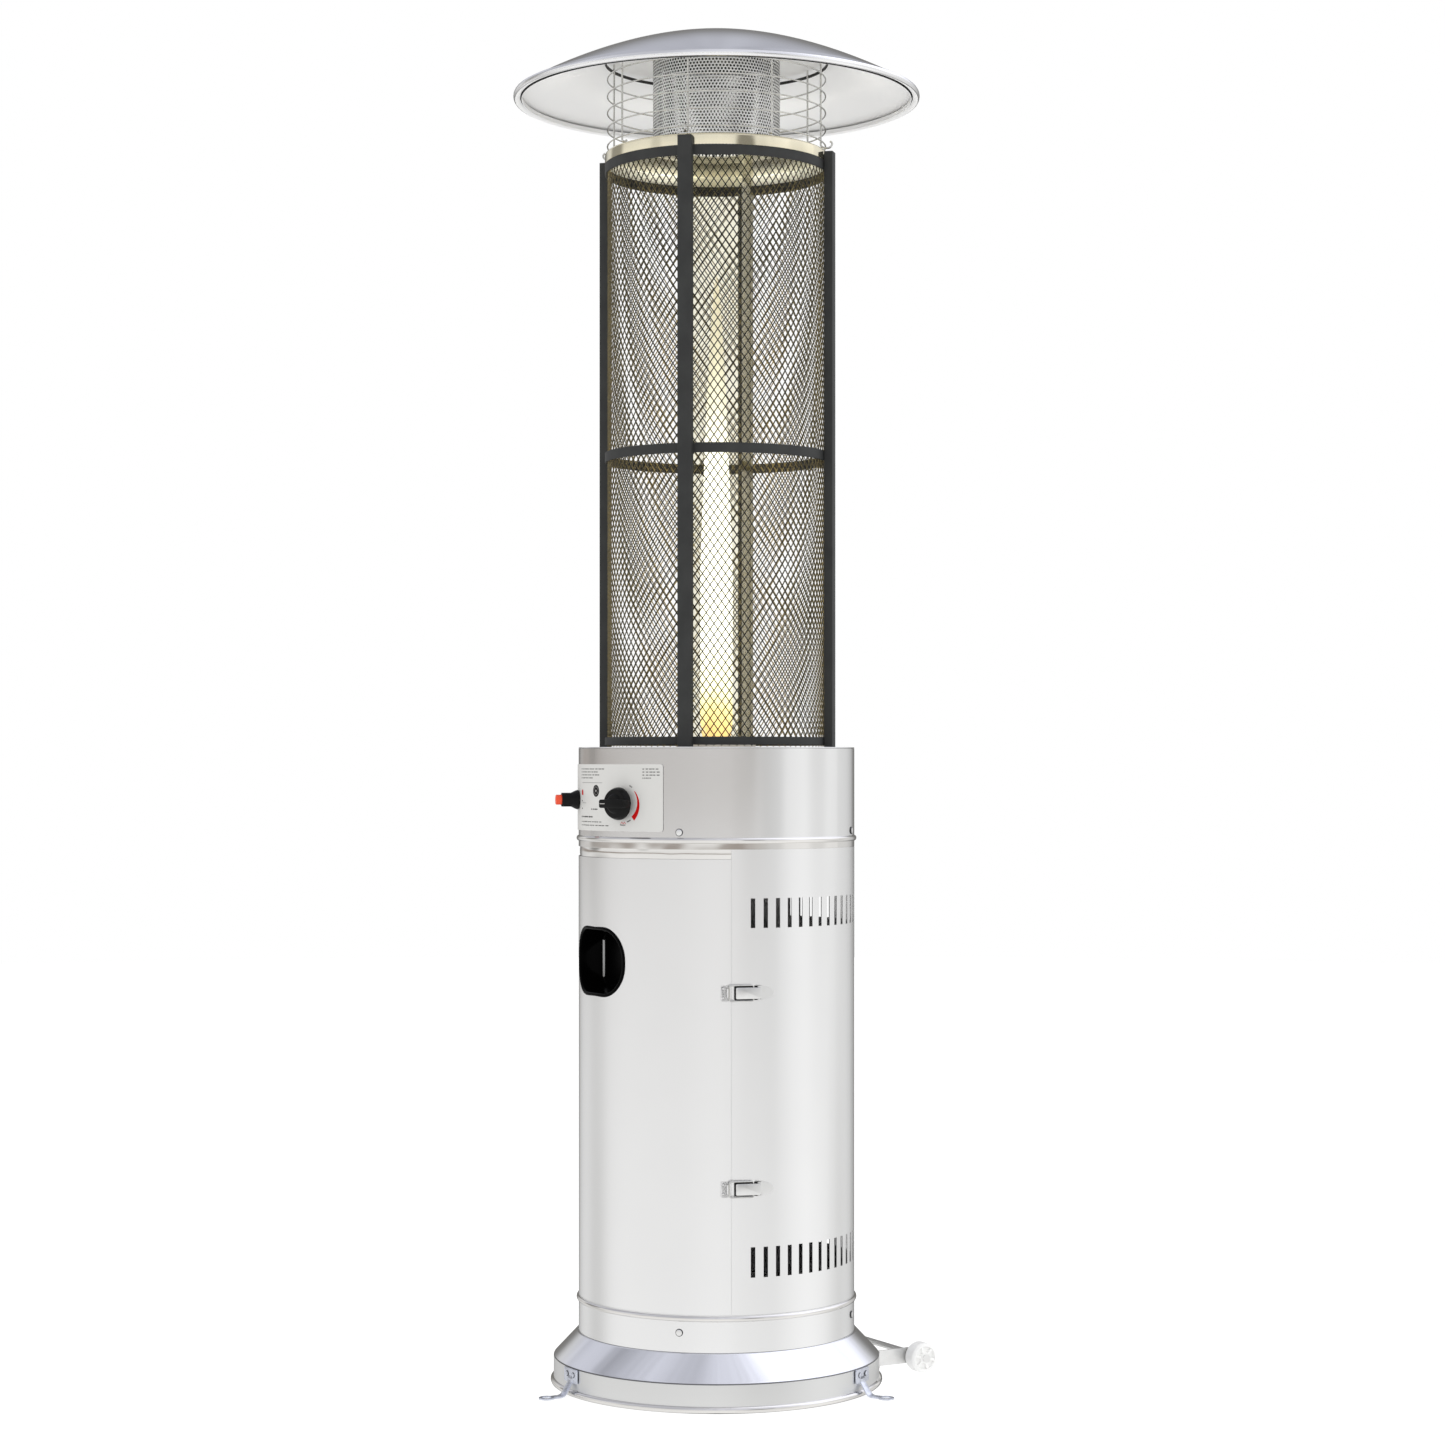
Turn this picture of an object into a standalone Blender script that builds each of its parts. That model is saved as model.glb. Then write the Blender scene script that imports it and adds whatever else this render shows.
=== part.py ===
"""A tower patio heater: gas burner in a glass flame tube on a round steel body.

Metres, +Z up.  The origin is on the floor under the tower's axis and the front faces -Y.
Angles run round the axis from the front towards +X.
"""
import bmesh
import bpy
from math import asin, cos, degrees, radians, sin, sqrt
from mathutils import Matrix, Vector

# Clearances and sheet
GAP = 0.0003                    # between two pieces that touch
RUNNING = 0.0005                # round pins, spindles and the push button
OVERRUN = 0.004                 # how far a cutter reaches past what it cuts
SHEET = 0.0012                  # stainless sheet of body, housing and reflector
MERGE = 0.00002                 # welds points that a modifier lays on each other

# Facets of round pieces
TURN_STEPS = 32
SMALL_STEPS = 12
CAGE_STEPS = 24

# Body: lower ring, door, rear shell and control housing share one radius
BODY_RADIUS = 0.1845
SPIGOT_LENGTH = 0.015
FLANGE_WIDTH = 0.018            # the inward flanges that join base, lower ring and housing
FLANGE_RADIUS = BODY_RADIUS - FLANGE_WIDTH
BEAD_DEPTH = 0.0028
BEAD_WIDTH = 0.0075
BEAD_SHARES = ((0.5, 0.0), (0.0, 1.0), (-0.5, 0.0))

# Base
BAND_REACH = 0.0333             # the band stands this far outside the body
BAND_RADIUS = BODY_RADIUS + BAND_REACH
BAND_TOP = 0.0365
CONE_STEP = 0.002               # the cone starts just inside the band's edge
CONE_FOOT_RADIUS = BAND_RADIUS - CONE_STEP
CONE_FOOT_HEIGHT = BAND_TOP + CONE_STEP
CONE_RISE = 0.0315
CONE_MARGIN = 0.0015            # of the cone's top edge round the body
CONE_TOP_RADIUS = BODY_RADIUS + CONE_MARGIN
RIM_DEPTH = 0.004               # rolled rim round the foot of the band
RIM_HEIGHT = 0.0085
RIM_SHARES = ((1.0, 0.0), (0.7, 0.9), (0.25, 0.9), (0.0, 0.3))
BASE_PLATE_THICKNESS = 0.002
BASE_PLATE_RIM = 0.014          # its upturned edge inside the band

# The body's pieces from the base up, as heights above the floor
SKIRT_TOP = CONE_FOOT_HEIGHT + CONE_RISE
LOWER_RING_HEIGHT = 0.048
LOWER_RING_TOP = SKIRT_TOP + LOWER_RING_HEIGHT
BEAD_MARGIN = 0.00075           # lower ring's bead to its top edge
LOWER_BEAD_HEIGHT = LOWER_RING_TOP - BEAD_WIDTH / 2 - BEAD_MARGIN
DOOR_HEIGHT = 0.584
DOOR_TOP = LOWER_RING_TOP + DOOR_HEIGHT
NECK_HEIGHT = 0.013             # drawn-in neck between door and housing
HOUSING_BOTTOM = DOOR_TOP + NECK_HEIGHT
HOUSING_BEAD_RISE = 0.00725
HOUSING_BEAD_HEIGHT = HOUSING_BOTTOM + BEAD_WIDTH / 2 + HOUSING_BEAD_RISE
HOUSING_HEIGHT = 0.1315
DECK_TOP = HOUSING_BOTTOM + HOUSING_HEIGHT
DECK_THICKNESS = 0.0015

# Door and rear shell
DOOR_HALF_ANGLE = 65.8
SEAM_ANGLE = 0.25
SLOT_PITCH_ANGLE = 5.4
SLOTS_PER_SIDE = 20
SLOT_WIDTH = 0.006
SLOT_TO_BOTTOM = 0.048
SLOT_TO_TOP = 0.050
LOWER_SLOT_LENGTH = 0.039
UPPER_SLOT_LENGTH = 0.038

# Handle recess in the door
HANDLE_WIDTH = 0.120
HANDLE_HEIGHT = 0.0845
HANDLE_DROP = 0.136             # its centre under the door's top edge
HANDLE_CENTRE_HEIGHT = DOOR_TOP - HANDLE_DROP
HANDLE_END_STRAIGHT = 0.0035    # straight stretch above and below the middle of its ends
HANDLE_CORNER_RADIUS = HANDLE_HEIGHT / 2 - HANDLE_END_STRAIGHT
HANDLE_LIP_WIDTH = 0.0035
HANDLE_LIP_THICKNESS = 0.0014
HANDLE_WALL = 0.002
HANDLE_DEPTH = 0.042
CORNER_STEPS = 4

# Controls
LABEL_HALF_ANGLE = 38.3
LABEL_RISE = 0.022
LABEL_HEIGHT = 0.087
LABEL_BOTTOM = HOUSING_BOTTOM + LABEL_RISE
LABEL_THICKNESS = 0.0005
LABEL_STEPS = 16
KNOB_ANGLE = 19.5
KNOB_RISE = 0.036               # over the label's lower edge
KNOB_HEIGHT = LABEL_BOTTOM + KNOB_RISE
KNOB_RADIUS = 0.0215
KNOB_TAPER = 0.002
KNOB_SKIRT_RADIUS = KNOB_RADIUS - KNOB_TAPER
KNOB_DISC = 0.009
KNOB_LENGTH = 0.0205
KNOB_GRIP_HEIGHT = 0.011
KNOB_GRIP_INSET = 0.0005        # the grip's ends inside the disc's edge
KNOB_GRIP_LENGTH = 2 * (KNOB_RADIUS - KNOB_GRIP_INSET)
KNOB_EDGE = 0.0012
KNOB_TRAVEL = 0.003
KNOB_STAND_OFF = 0.0036         # face of the label to the back of the knob
KNOB_CROWN = 0.006              # solid end over the spindle's bore
KNOB_BORE_DEPTH = KNOB_LENGTH - KNOB_CROWN
SPINDLE_RADIUS = 0.003
SPINDLE_HOLE_RADIUS = 0.006
IGNITER_ANGLE = -19.5
IGNITER_RISE = 0.040
IGNITER_HEIGHT = LABEL_BOTTOM + IGNITER_RISE
IGNITER_SLEEVE_RADIUS = 0.0092
IGNITER_SLEEVE_LENGTH = 0.0233
IGNITER_SLEEVE_WALL = 0.0018
IGNITER_COLLAR_STEP = 0.0039
IGNITER_COLLAR_RADIUS = IGNITER_SLEEVE_RADIUS + IGNITER_COLLAR_STEP
IGNITER_COLLAR_LENGTH = 0.005
IGNITER_FLARE_LENGTH = 0.005
IGNITER_THREAD_STEP = 0.0014
IGNITER_THREAD_RADIUS = IGNITER_SLEEVE_RADIUS - IGNITER_THREAD_STEP
IGNITER_NUT_STEP = 0.0042
IGNITER_NUT_RADIUS = IGNITER_THREAD_RADIUS + IGNITER_NUT_STEP
IGNITER_NUT_THICKNESS = 0.004
IGNITER_TAIL_LENGTH = 0.034
BUTTON_PROJECTION = 0.0076
BUTTON_TRAVEL = 0.005
BUTTON_LENGTH = 0.0165

# Gas train inside the housing
VALVE_WIDTH = 0.032
VALVE_HEIGHT = 0.030
VALVE_DEPTH = 0.030
VALVE_SET_BACK = 0.0113         # housing wall to the valve's front
VALVE_FRONT_RADIUS = BODY_RADIUS - SHEET - VALVE_SET_BACK
VALVE_BACK_RADIUS = VALVE_FRONT_RADIUS - VALVE_DEPTH
VALVE_BOSS_RADIUS = 0.0095
VALVE_EDGE = 0.003
BARB_RADIUS = 0.0045
BARB_RIDGE = 0.0014
BARB_PITCH = 0.0055
BARB_RIDGES = 3
BARB_STEM = 0.009
PIPE_RADIUS = 0.0045
PIPE_BEND_RADIUS = 0.020
PIPE_BEND_STEPS = 5
CUP_WALL = 0.0015
CUP_DEPTH = 0.046
CUP_FLANGE_WIDTH = 0.0075
CUP_FLANGE_INSET = 0.005        # inside the glass tube
PILOT_INSET = 0.013             # pilot and probe inside the cup's wall
PILOT_ANGLE = -40.0
PILOT_RADIUS = 0.003
PILOT_HOOD_RADIUS = 0.0052
PILOT_HOOD_LENGTH = 0.012
PROBE_ANGLE = 40.0
PROBE_RADIUS = 0.0022
PROBE_COLLAR_RADIUS = 0.004
PROBE_COLLAR_LENGTH = 0.010
PROBE_RISE = 0.012              # pilot and probe stand this far above the burner's flange
SWITCH_ANGLE = 75.0
SWITCH_INSET = 0.014
SWITCH_PLACE_RADIUS = BODY_RADIUS - SWITCH_INSET
SWITCH_RADIUS = 0.0085
SWITCH_LENGTH = 0.028
SWITCH_CAP_RADIUS = 0.006
SWITCH_CAP_LENGTH = 0.008

# Flame tube
GLASS_RADIUS = 0.049
GLASS_WALL = 0.0025
SEAT_WALL = 0.0028
SEAT_FLOOR = 0.005
SEAT_DEPTH = 0.009
GLASS_DROP = 0.003              # its top edge under the collar's seat
CUP_FLANGE_RADIUS = GLASS_RADIUS - GLASS_WALL - CUP_FLANGE_INSET
CUP_RADIUS = CUP_FLANGE_RADIUS - CUP_FLANGE_WIDTH
PILOT_PLACE_RADIUS = CUP_RADIUS - PILOT_INSET

# Guard round the flame tube
GUARD_INSET = 0.035             # hoops inside the housing's edge
HOOP_RADIUS = BODY_RADIUS - GUARD_INSET
HOOP_DEPTH = 0.0024
HOOP_HEIGHT = 0.013
MIDDLE_HOOP_RISE = 0.3805       # over the deck
TOP_HOOP_RISE = 0.7655
MIDDLE_HOOP_BOTTOM = DECK_TOP + MIDDLE_HOOP_RISE
TOP_HOOP_BOTTOM = DECK_TOP + TOP_HOOP_RISE
POST_ANGLES = (45.0, 135.0, 225.0, 315.0)
POST_WIDTH = 0.022
POST_DEPTH = 0.0115
POST_SHEET = 0.0015
POST_HEAD = 0.011               # past the top hoop
POST_TOP = TOP_HOOP_BOTTOM + HOOP_HEIGHT + POST_HEAD
NET_SET_IN = 0.0015             # hoops' inner faces to the net's middle
NET_RADIUS = HOOP_RADIUS - HOOP_DEPTH - NET_SET_IN
NET_STRAND = 0.0016
NET_COLUMNS = 3
NET_ROWS = 6

# Head: collar, emitter, cage and reflector
COLLAR_SHEET = 0.0015
COLLAR_BAND = 0.0135            # its straight edge over the top hoop
COLLAR_EDGE_HEIGHT = TOP_HOOP_BOTTOM + HOOP_HEIGHT + COLLAR_BAND
COLLAR_SHOULDER_INSET = 0.0025
COLLAR_SHOULDER_RISE = 0.002
COLLAR_SHOULDER_RADIUS = HOOP_RADIUS - COLLAR_SHOULDER_INSET
COLLAR_SHOULDER_HEIGHT = COLLAR_EDGE_HEIGHT + COLLAR_SHOULDER_RISE
COLLAR_SEAT_RISE = 0.0075
COLLAR_SEAT_HEIGHT = COLLAR_SHOULDER_HEIGHT + COLLAR_SEAT_RISE
GLASS_TOP = COLLAR_SEAT_HEIGHT - GLASS_DROP
EMITTER_RADIUS = 0.085
EMITTER_HEIGHT = 0.112
EMITTER_CROWN_INSET = 0.015
EMITTER_CROWN_RISE = 0.009
COLLAR_SEAT_MARGIN = 0.007      # of the flat seat round the emitter
COLLAR_SEAT_RADIUS = EMITTER_RADIUS + COLLAR_SEAT_MARGIN
EMITTER_CROWN_RADIUS = EMITTER_RADIUS - EMITTER_CROWN_INSET
EMITTER_SHOULDER = COLLAR_SEAT_HEIGHT + EMITTER_HEIGHT
EMITTER_TOP = EMITTER_SHOULDER + EMITTER_CROWN_RISE
CAGE_INSET = 0.001              # inside the collar's shoulder
CAGE_RADIUS = COLLAR_SHOULDER_RADIUS - CAGE_INSET
CAGE_WIRE_RADIUS = 0.0014
CAGE_RINGS = 5
CAGE_FIRST_RING = 0.0095        # over the collar's shoulder
CAGE_RING_PITCH = 0.0225
CAGE_POSTS = 8
CAGE_FOOT_LIFT = 0.0007         # the wires' feet over the collar's sloping shoulder
CAGE_HEAD_DROP = 0.0012         # the wires' heads under the reflector's slope
HOOP_BAND_DROP = 0.0065         # under the reflector's outer face
HOOP_BAND_HEIGHT = 0.006
HOOP_BAND_DEPTH = 0.0022
REFLECTOR_RADIUS = 0.2716
REFLECTOR_LIP_WIDTH = 0.0076
REFLECTOR_DOME_RADIUS = REFLECTOR_RADIUS - REFLECTOR_LIP_WIDTH
REFLECTOR_RISE = 0.0730         # foot of the dome over the collar's seat
REFLECTOR_RIM_HEIGHT = COLLAR_SEAT_HEIGHT + REFLECTOR_RISE
DOME_RISE = 0.0790
REFLECTOR_TOP = REFLECTOR_RIM_HEIGHT + DOME_RISE
REFLECTOR_LIP = 0.010
REFLECTOR_POWER = 1.80          # fuller than a cone, flatter than a sphere
REFLECTOR_RINGS = 6
LIP_SHARES = ((0.85, 0.9), (1.0, 0.45), (0.75, 0.0))

# Anchor feet
ANCHOR_ANGLES = (0.0, 120.0, 240.0)
ANCHOR_PLATE_WIDTH = 0.035
ANCHOR_PLATE_HEIGHT = 0.0185
ANCHOR_PLATE_BOTTOM = BAND_TOP - ANCHOR_PLATE_HEIGHT
ANCHOR_SHEET = 0.0022
ANCHOR_STRAP_WIDTH = 0.013
ANCHOR_TOE_REACH = 0.0132
ANCHOR_TOE_RADIUS = BAND_RADIUS + ANCHOR_TOE_REACH      # where the strap meets the floor
ANCHOR_EYE_REACH = 0.0235
ANCHOR_EYE_PLACE = ANCHOR_TOE_RADIUS + ANCHOR_EYE_REACH
ANCHOR_EYE_BORE = 0.0062
ANCHOR_EYE_WALL = 0.0043
ANCHOR_EYE_RADIUS = ANCHOR_EYE_BORE + ANCHOR_EYE_WALL

# Wheels
WHEEL_RADIUS = 0.020
WHEEL_WIDTH = 0.022
WHEEL_HUB_RADIUS = 0.007
WHEEL_HUB_STEP = 0.0015         # the hub's ends past the tyre's sides
WHEEL_HUB_WIDTH = WHEEL_WIDTH + 2 * WHEEL_HUB_STEP
WHEEL_GAP = 0.0015              # hub to bracket
WHEEL_EDGE = 0.003
WHEEL_LIFT = 0.0015             # tyre over the floor while the heater stands
AXLE_REACH = 0.0442             # behind the band
AXLE_PLACE = BAND_RADIUS + AXLE_REACH
AXLE_HEIGHT = WHEEL_RADIUS + WHEEL_LIFT
AXLE_RADIUS = 0.003
AXLE_HEAD_RADIUS = 0.0055
AXLE_HEAD_LENGTH = 0.002
BRACKET_SHEET = 0.002
BRACKET_BELOW = 0.0095          # under and over the axle's middle
BRACKET_ABOVE = 0.0115
BRACKET_BOTTOM = AXLE_HEIGHT - BRACKET_BELOW
BRACKET_TOP = AXLE_HEIGHT + BRACKET_ABOVE
BRACKET_HALF_WIDTH = 0.086
BRACKET_NOSE = 0.008            # past the axle's middle
BRACKET_END = AXLE_PLACE + BRACKET_NOSE
BRACKET_TIE_BACK = 0.016
BRACKET_TIE_PLACE = AXLE_PLACE - BRACKET_TIE_BACK
BRACKET_TIE_WIDTH = 0.008
WHEEL_CENTRE = BRACKET_HALF_WIDTH + WHEEL_GAP + WHEEL_HUB_WIDTH / 2
BRACKET_TAB_ANGLE = 3.0         # the back plate reaches this far past the arms

# Latches
LATCH_TO_BOTTOM = 0.162
LATCH_TO_TOP = 0.171
LATCH_HEIGHTS = (LOWER_RING_TOP + LATCH_TO_BOTTOM, DOOR_TOP - LATCH_TO_TOP)
LATCH_ANGLE = 73.0
LATCH_SHEET = 0.0015
LATCH_PLATE_HALF_HEIGHT = 0.0095
LATCH_BASE_START = 0.011        # the fixed plate on the rear shell, along the body
LATCH_BASE_END = 0.0328
LATCH_PIVOT_OFFSET = 0.0125     # along the tangent, from the latch's middle
LATCH_PIVOT_HEIGHT = 0.0049     # over the body
LATCH_PIN_RADIUS = 0.001
LATCH_EAR_HALF_WIDTH = 0.004
LATCH_EAR_FOOT = 0.0008
LATCH_EAR_HEAD = 0.0068
LATCH_EAR_THICKNESS = 0.0012
LEVER_HALF_HEIGHT = 0.008
LEVER_THICKNESS = 0.0036
LEVER_TIP_OFFSET = 0.0184
LEVER_TAIL = 0.002              # past the pivot
BAIL_OFFSET = 0.005             # where its ends enter the lever
BAIL_REACH = 0.027
BAIL_HALF_HEIGHT = 0.0101
BAIL_WIRE_RADIUS = 0.001
BAIL_CORNER = 0.003
BAIL_CORNER_STEPS = 1
BAIL_END = 0.0055               # half the gap between the ends inside the lever
KEEPER_START = 0.0367           # the plate on the door, along the body
KEEPER_END = 0.0245
KEEPER_TOOTH_WIDTH = 0.0025
KEEPER_TOOTH_HALF_HEIGHT = 0.006

for old in list(bpy.data.objects):
    bpy.data.objects.remove(old, do_unlink=True)

parts = bpy.data.collections.new("Tower patio heater")
cutters = bpy.data.collections.new("Cutters")
bpy.context.scene.collection.children.link(parts)
bpy.context.scene.collection.children.link(cutters)


def material(name, colour, roughness, metallic=0.0, transmission=0.0):
    """A Principled material in linear colour."""
    made = bpy.data.materials.new(name)
    made.use_nodes = True
    made.diffuse_color = (*colour, 1.0)
    shader = made.node_tree.nodes["Principled BSDF"]
    shader.inputs["Base Color"].default_value = (*colour, 1.0)
    shader.inputs["Roughness"].default_value = roughness
    shader.inputs["Metallic"].default_value = metallic
    shader.inputs["Transmission Weight"].default_value = transmission
    return made


BRUSHED = material("brushed stainless", (0.62, 0.62, 0.61), 0.32, 1.0)
POLISHED = material("polished stainless", (0.70, 0.70, 0.71), 0.12, 1.0)
BLACK_COAT = material("black powder coat", (0.030, 0.030, 0.033), 0.50)
ZINC = material("bright zinc", (0.60, 0.62, 0.66), 0.30, 1.0)
WIRE = material("bright wire", (0.55, 0.55, 0.56), 0.25, 1.0)
PERFORATED = material("perforated stainless", (0.36, 0.36, 0.36), 0.35, 1.0)
BLACK_PLASTIC = material("black plastic", (0.015, 0.015, 0.015), 0.38)
ORANGE_PLASTIC = material("orange plastic", (0.90, 0.09, 0.02), 0.35)
WHITE_PLASTIC = material("white plastic", (0.78, 0.78, 0.76), 0.45)
LABEL_FILM = material("white label film", (0.78, 0.78, 0.76), 0.40)
GLASS = material("clear glass", (0.97, 0.97, 0.93), 0.02, 0.0, 1.0)
BRASS = material("brass", (0.62, 0.42, 0.13), 0.30, 1.0)
ALUMINIUM = material("aluminium", (0.60, 0.60, 0.61), 0.35, 1.0)
CERAMIC = material("white ceramic", (0.80, 0.77, 0.70), 0.55)
GALVANISED = material("galvanised steel", (0.45, 0.46, 0.47), 0.45, 1.0)


def facet_shrink(step_angle):
    """The share of a facetted ring's radius that the middle of a facet keeps."""
    return cos(radians(step_angle) / 2)


TURN_SHRINK = facet_shrink(360.0 / TURN_STEPS)
SMALL_SHRINK = facet_shrink(360.0 / SMALL_STEPS)

# The drawn-in necks behind door and rear shell
SPIGOT_RADIUS = (BODY_RADIUS - SHEET) * facet_shrink(SLOT_PITCH_ANGLE) - GAP


def polar(radius, angle, height=0.0):
    return Vector((radius * sin(radians(angle)), -radius * cos(radians(angle)), height))


def link(obj, finish=None, collection=parts):
    """Put an object in its collection, with its material."""
    collection.objects.link(obj)
    if finish is not None:
        obj.data.materials.append(finish)
    return obj


def from_bmesh(name, shape, finish=None, smooth=True):
    bmesh.ops.recalc_face_normals(shape, faces=shape.faces)
    mesh = bpy.data.meshes.new(name)
    shape.to_mesh(mesh)
    shape.free()
    if smooth:
        mesh.shade_smooth()
        mesh.set_sharp_from_angle(angle=radians(35))
    return link(bpy.data.objects.new(name, mesh), finish)


def box(name, low, high, finish=None):
    """A box between two corners, its origin where the corners count from."""
    shape = bmesh.new()
    bmesh.ops.create_cube(shape, size=1.0)
    low, high = Vector(low), Vector(high)
    middle = (low + high) / 2
    size = high - low
    bmesh.ops.transform(shape, verts=shape.verts,
                        matrix=Matrix.Translation(middle) @ Matrix.Diagonal((*size, 1.0)))
    return from_bmesh(name, shape, finish, smooth=False)


def rod(name, radius, start, end, finish=None, steps=SMALL_STEPS):
    """A cylinder along Z between two heights."""
    shape = bmesh.new()
    bmesh.ops.create_cone(shape, cap_ends=True, segments=steps, radius1=radius, radius2=radius,
                          depth=end - start)
    bmesh.ops.translate(shape, verts=shape.verts, vec=(0, 0, (start + end) / 2))
    return from_bmesh(name, shape, finish)


def screw(name, points, closed, finish, sweep, steps, start):
    """A profile of (radius, height) points turned about Z."""
    mesh = bpy.data.meshes.new(name)
    edges = [(i, i + 1) for i in range(len(points) - 1)]
    if closed:
        edges.append((len(points) - 1, 0))
    mesh.from_pydata([(r, 0, z) for r, z in points], edges, [])
    obj = link(bpy.data.objects.new(name, mesh), finish)
    obj.rotation_euler.z = radians(start - 90)
    turn = obj.modifiers.new("Turn", 'SCREW')
    turn.angle = radians(sweep)
    turn.steps = turn.render_steps = steps
    turn.use_merge_vertices = True
    turn.merge_threshold = MERGE
    turn.use_normal_calculate = True
    turn.use_smooth_shade = True
    return obj


def turned(name, outline, finish=None, steps=TURN_STEPS):
    """A solid of revolution, its closed outline listed down the outer side first."""
    return freeze(screw(name, outline, True, finish, 360.0, steps, 0.0))


def skin(name, line, thickness, finish=None, start=0.0, sweep=360.0, steps=TURN_STEPS):
    """Sheet metal turned about Z: the line is its outer face, the thickness goes inwards."""
    obj = screw(name, line, False, finish, sweep, steps, start)
    obj.modifiers["Turn"].use_normal_calculate = False
    wall = obj.modifiers.new("Wall", 'SOLIDIFY')
    wall.thickness = thickness
    wall.offset = -1.0
    wall.use_even_offset = True
    return obj


def strip(radius, bottom, top, thickness):
    """Outline of a flat ring or band, down its outer side and up its inner one."""
    return [(radius, top), (radius, bottom), (radius - thickness, bottom), (radius - thickness, top)]


def arc(name, radius, bottom, top, thickness, start, end, finish=None, steps=TURN_STEPS):
    """A plate bent to a radius between two angles."""
    return skin(name, [(radius, top), (radius, bottom)], thickness, finish, start, end - start,
                steps)


def freeze(obj):
    """Turn an object's evaluated form, a curve's too, into a welded mesh."""
    bpy.context.view_layer.update()
    evaluated = obj.evaluated_get(bpy.context.evaluated_depsgraph_get())
    mesh = bpy.data.meshes.new_from_object(evaluated)
    shape = bmesh.new()
    shape.from_mesh(mesh)
    bmesh.ops.remove_doubles(shape, verts=shape.verts, dist=MERGE)
    bmesh.ops.recalc_face_normals(shape, faces=shape.faces)
    shape.to_mesh(mesh)
    shape.free()
    name = obj.name
    collection = obj.users_collection[0]
    solid = bpy.data.objects.new(name, mesh)
    solid.matrix_world = obj.matrix_world
    bpy.data.objects.remove(obj, do_unlink=True)
    solid.name = name
    collection.objects.link(solid)
    return solid


def combine(obj, other, operation):
    """A Boolean modifier whose second shape moves to the hidden collection."""
    for held in list(other.users_collection):
        held.objects.unlink(other)
    cutters.objects.link(other)
    other.hide_render = True
    other.display_type = 'WIRE'
    step = obj.modifiers.new(operation.title(), 'BOOLEAN')
    step.operation = operation
    step.object = other
    return obj


def cut(obj, other):
    return combine(obj, other, 'DIFFERENCE')


def fuse(obj, other):
    return combine(obj, other, 'UNION')


def curve_path(name, points, radius, finish=None, sides_level=1):
    """A wire or pipe along points."""
    curve = bpy.data.curves.new(name, 'CURVE')
    curve.dimensions = '3D'
    curve.bevel_depth = radius
    curve.bevel_resolution = sides_level
    curve.use_fill_caps = True
    spline = curve.splines.new('POLY')
    spline.points.add(len(points) - 1)
    for place, point in zip(spline.points, points):
        place.co = (*point, 1.0)
    return freeze(link(bpy.data.objects.new(name, curve), finish))


def extruded(name, outline, half_depth, finish=None):
    """A flat outline in XY, thickened both ways along Z."""
    curve = bpy.data.curves.new(name, 'CURVE')
    curve.dimensions = '2D'
    curve.fill_mode = 'BOTH'
    curve.extrude = half_depth
    spline = curve.splines.new('POLY')
    spline.points.add(len(outline) - 1)
    for place, (x, y) in zip(spline.points, outline):
        place.co = (x, y, 0, 1.0)
    spline.use_cyclic_u = True
    return freeze(link(bpy.data.objects.new(name, curve), finish))


def bevel(obj, width, segments=1, angle=40.0):
    edge = obj.modifiers.new("Edges", 'BEVEL')
    edge.width = width
    edge.segments = segments
    edge.limit_method = 'ANGLE'
    edge.angle_limit = radians(angle)
    return obj


def rounded(half_width, half_height, corner, steps=CORNER_STEPS):
    """Outline of a rectangle with round corners."""
    points = []
    for quarter, (x, y) in enumerate(((1, 1), (-1, 1), (-1, -1), (1, -1))):
        for i in range(steps + 1):
            angle = radians(90 * (quarter + i / steps))
            points.append((x * (half_width - corner) + corner * cos(angle),
                           y * (half_height - corner) + corner * sin(angle)))
    return points


def aim_out(obj, radius, angle, height):
    """Stand an object's Z axis along a radius, with its Y axis up."""
    obj.location = polar(radius, angle, height)
    obj.rotation_euler = (radians(90), 0, radians(angle))
    return obj


def face_out(obj, angle, out=0.0, along=0.0, height=0.0):
    """Turn an object that is built facing the front to an angle round the tower."""
    turn = Matrix.Rotation(radians(angle), 4, 'Z')
    obj.location = turn @ Vector((along, -out, height))
    obj.rotation_euler = (0, 0, radians(angle))
    return obj


def bead(radius, height):
    """The outline of a rolled bead, from its top to its bottom."""
    return [(radius + out * BEAD_DEPTH, height + up * BEAD_WIDTH) for up, out in BEAD_SHARES]


def build_base():
    edge = BAND_RADIUS - SHEET - GAP / TURN_SHRINK
    inside = edge - BASE_PLATE_THICKNESS
    turned("base_plate",
           [(edge, BASE_PLATE_RIM), (edge, 0), (0, 0), (0, BASE_PLATE_THICKNESS),
            (inside, BASE_PLATE_THICKNESS), (inside, BASE_PLATE_RIM)],
           GALVANISED)
    rim = [(BAND_RADIUS + out * RIM_DEPTH, up * RIM_HEIGHT) for up, out in RIM_SHARES]
    skin("base_skirt",
         [(FLANGE_RADIUS, SKIRT_TOP), (CONE_TOP_RADIUS, SKIRT_TOP),
          (CONE_FOOT_RADIUS, CONE_FOOT_HEIGHT), (BAND_RADIUS, BAND_TOP), *rim],
         SHEET, POLISHED)


def build_lower_ring():
    skin("lower_ring",
         [(SPIGOT_RADIUS, LOWER_RING_TOP + SPIGOT_LENGTH), (SPIGOT_RADIUS, LOWER_RING_TOP),
          (BODY_RADIUS, LOWER_RING_TOP), *bead(BODY_RADIUS, LOWER_BEAD_HEIGHT),
          (BODY_RADIUS, SKIRT_TOP + GAP), (FLANGE_RADIUS, SKIRT_TOP + GAP)],
         SHEET, BRUSHED)


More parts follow.
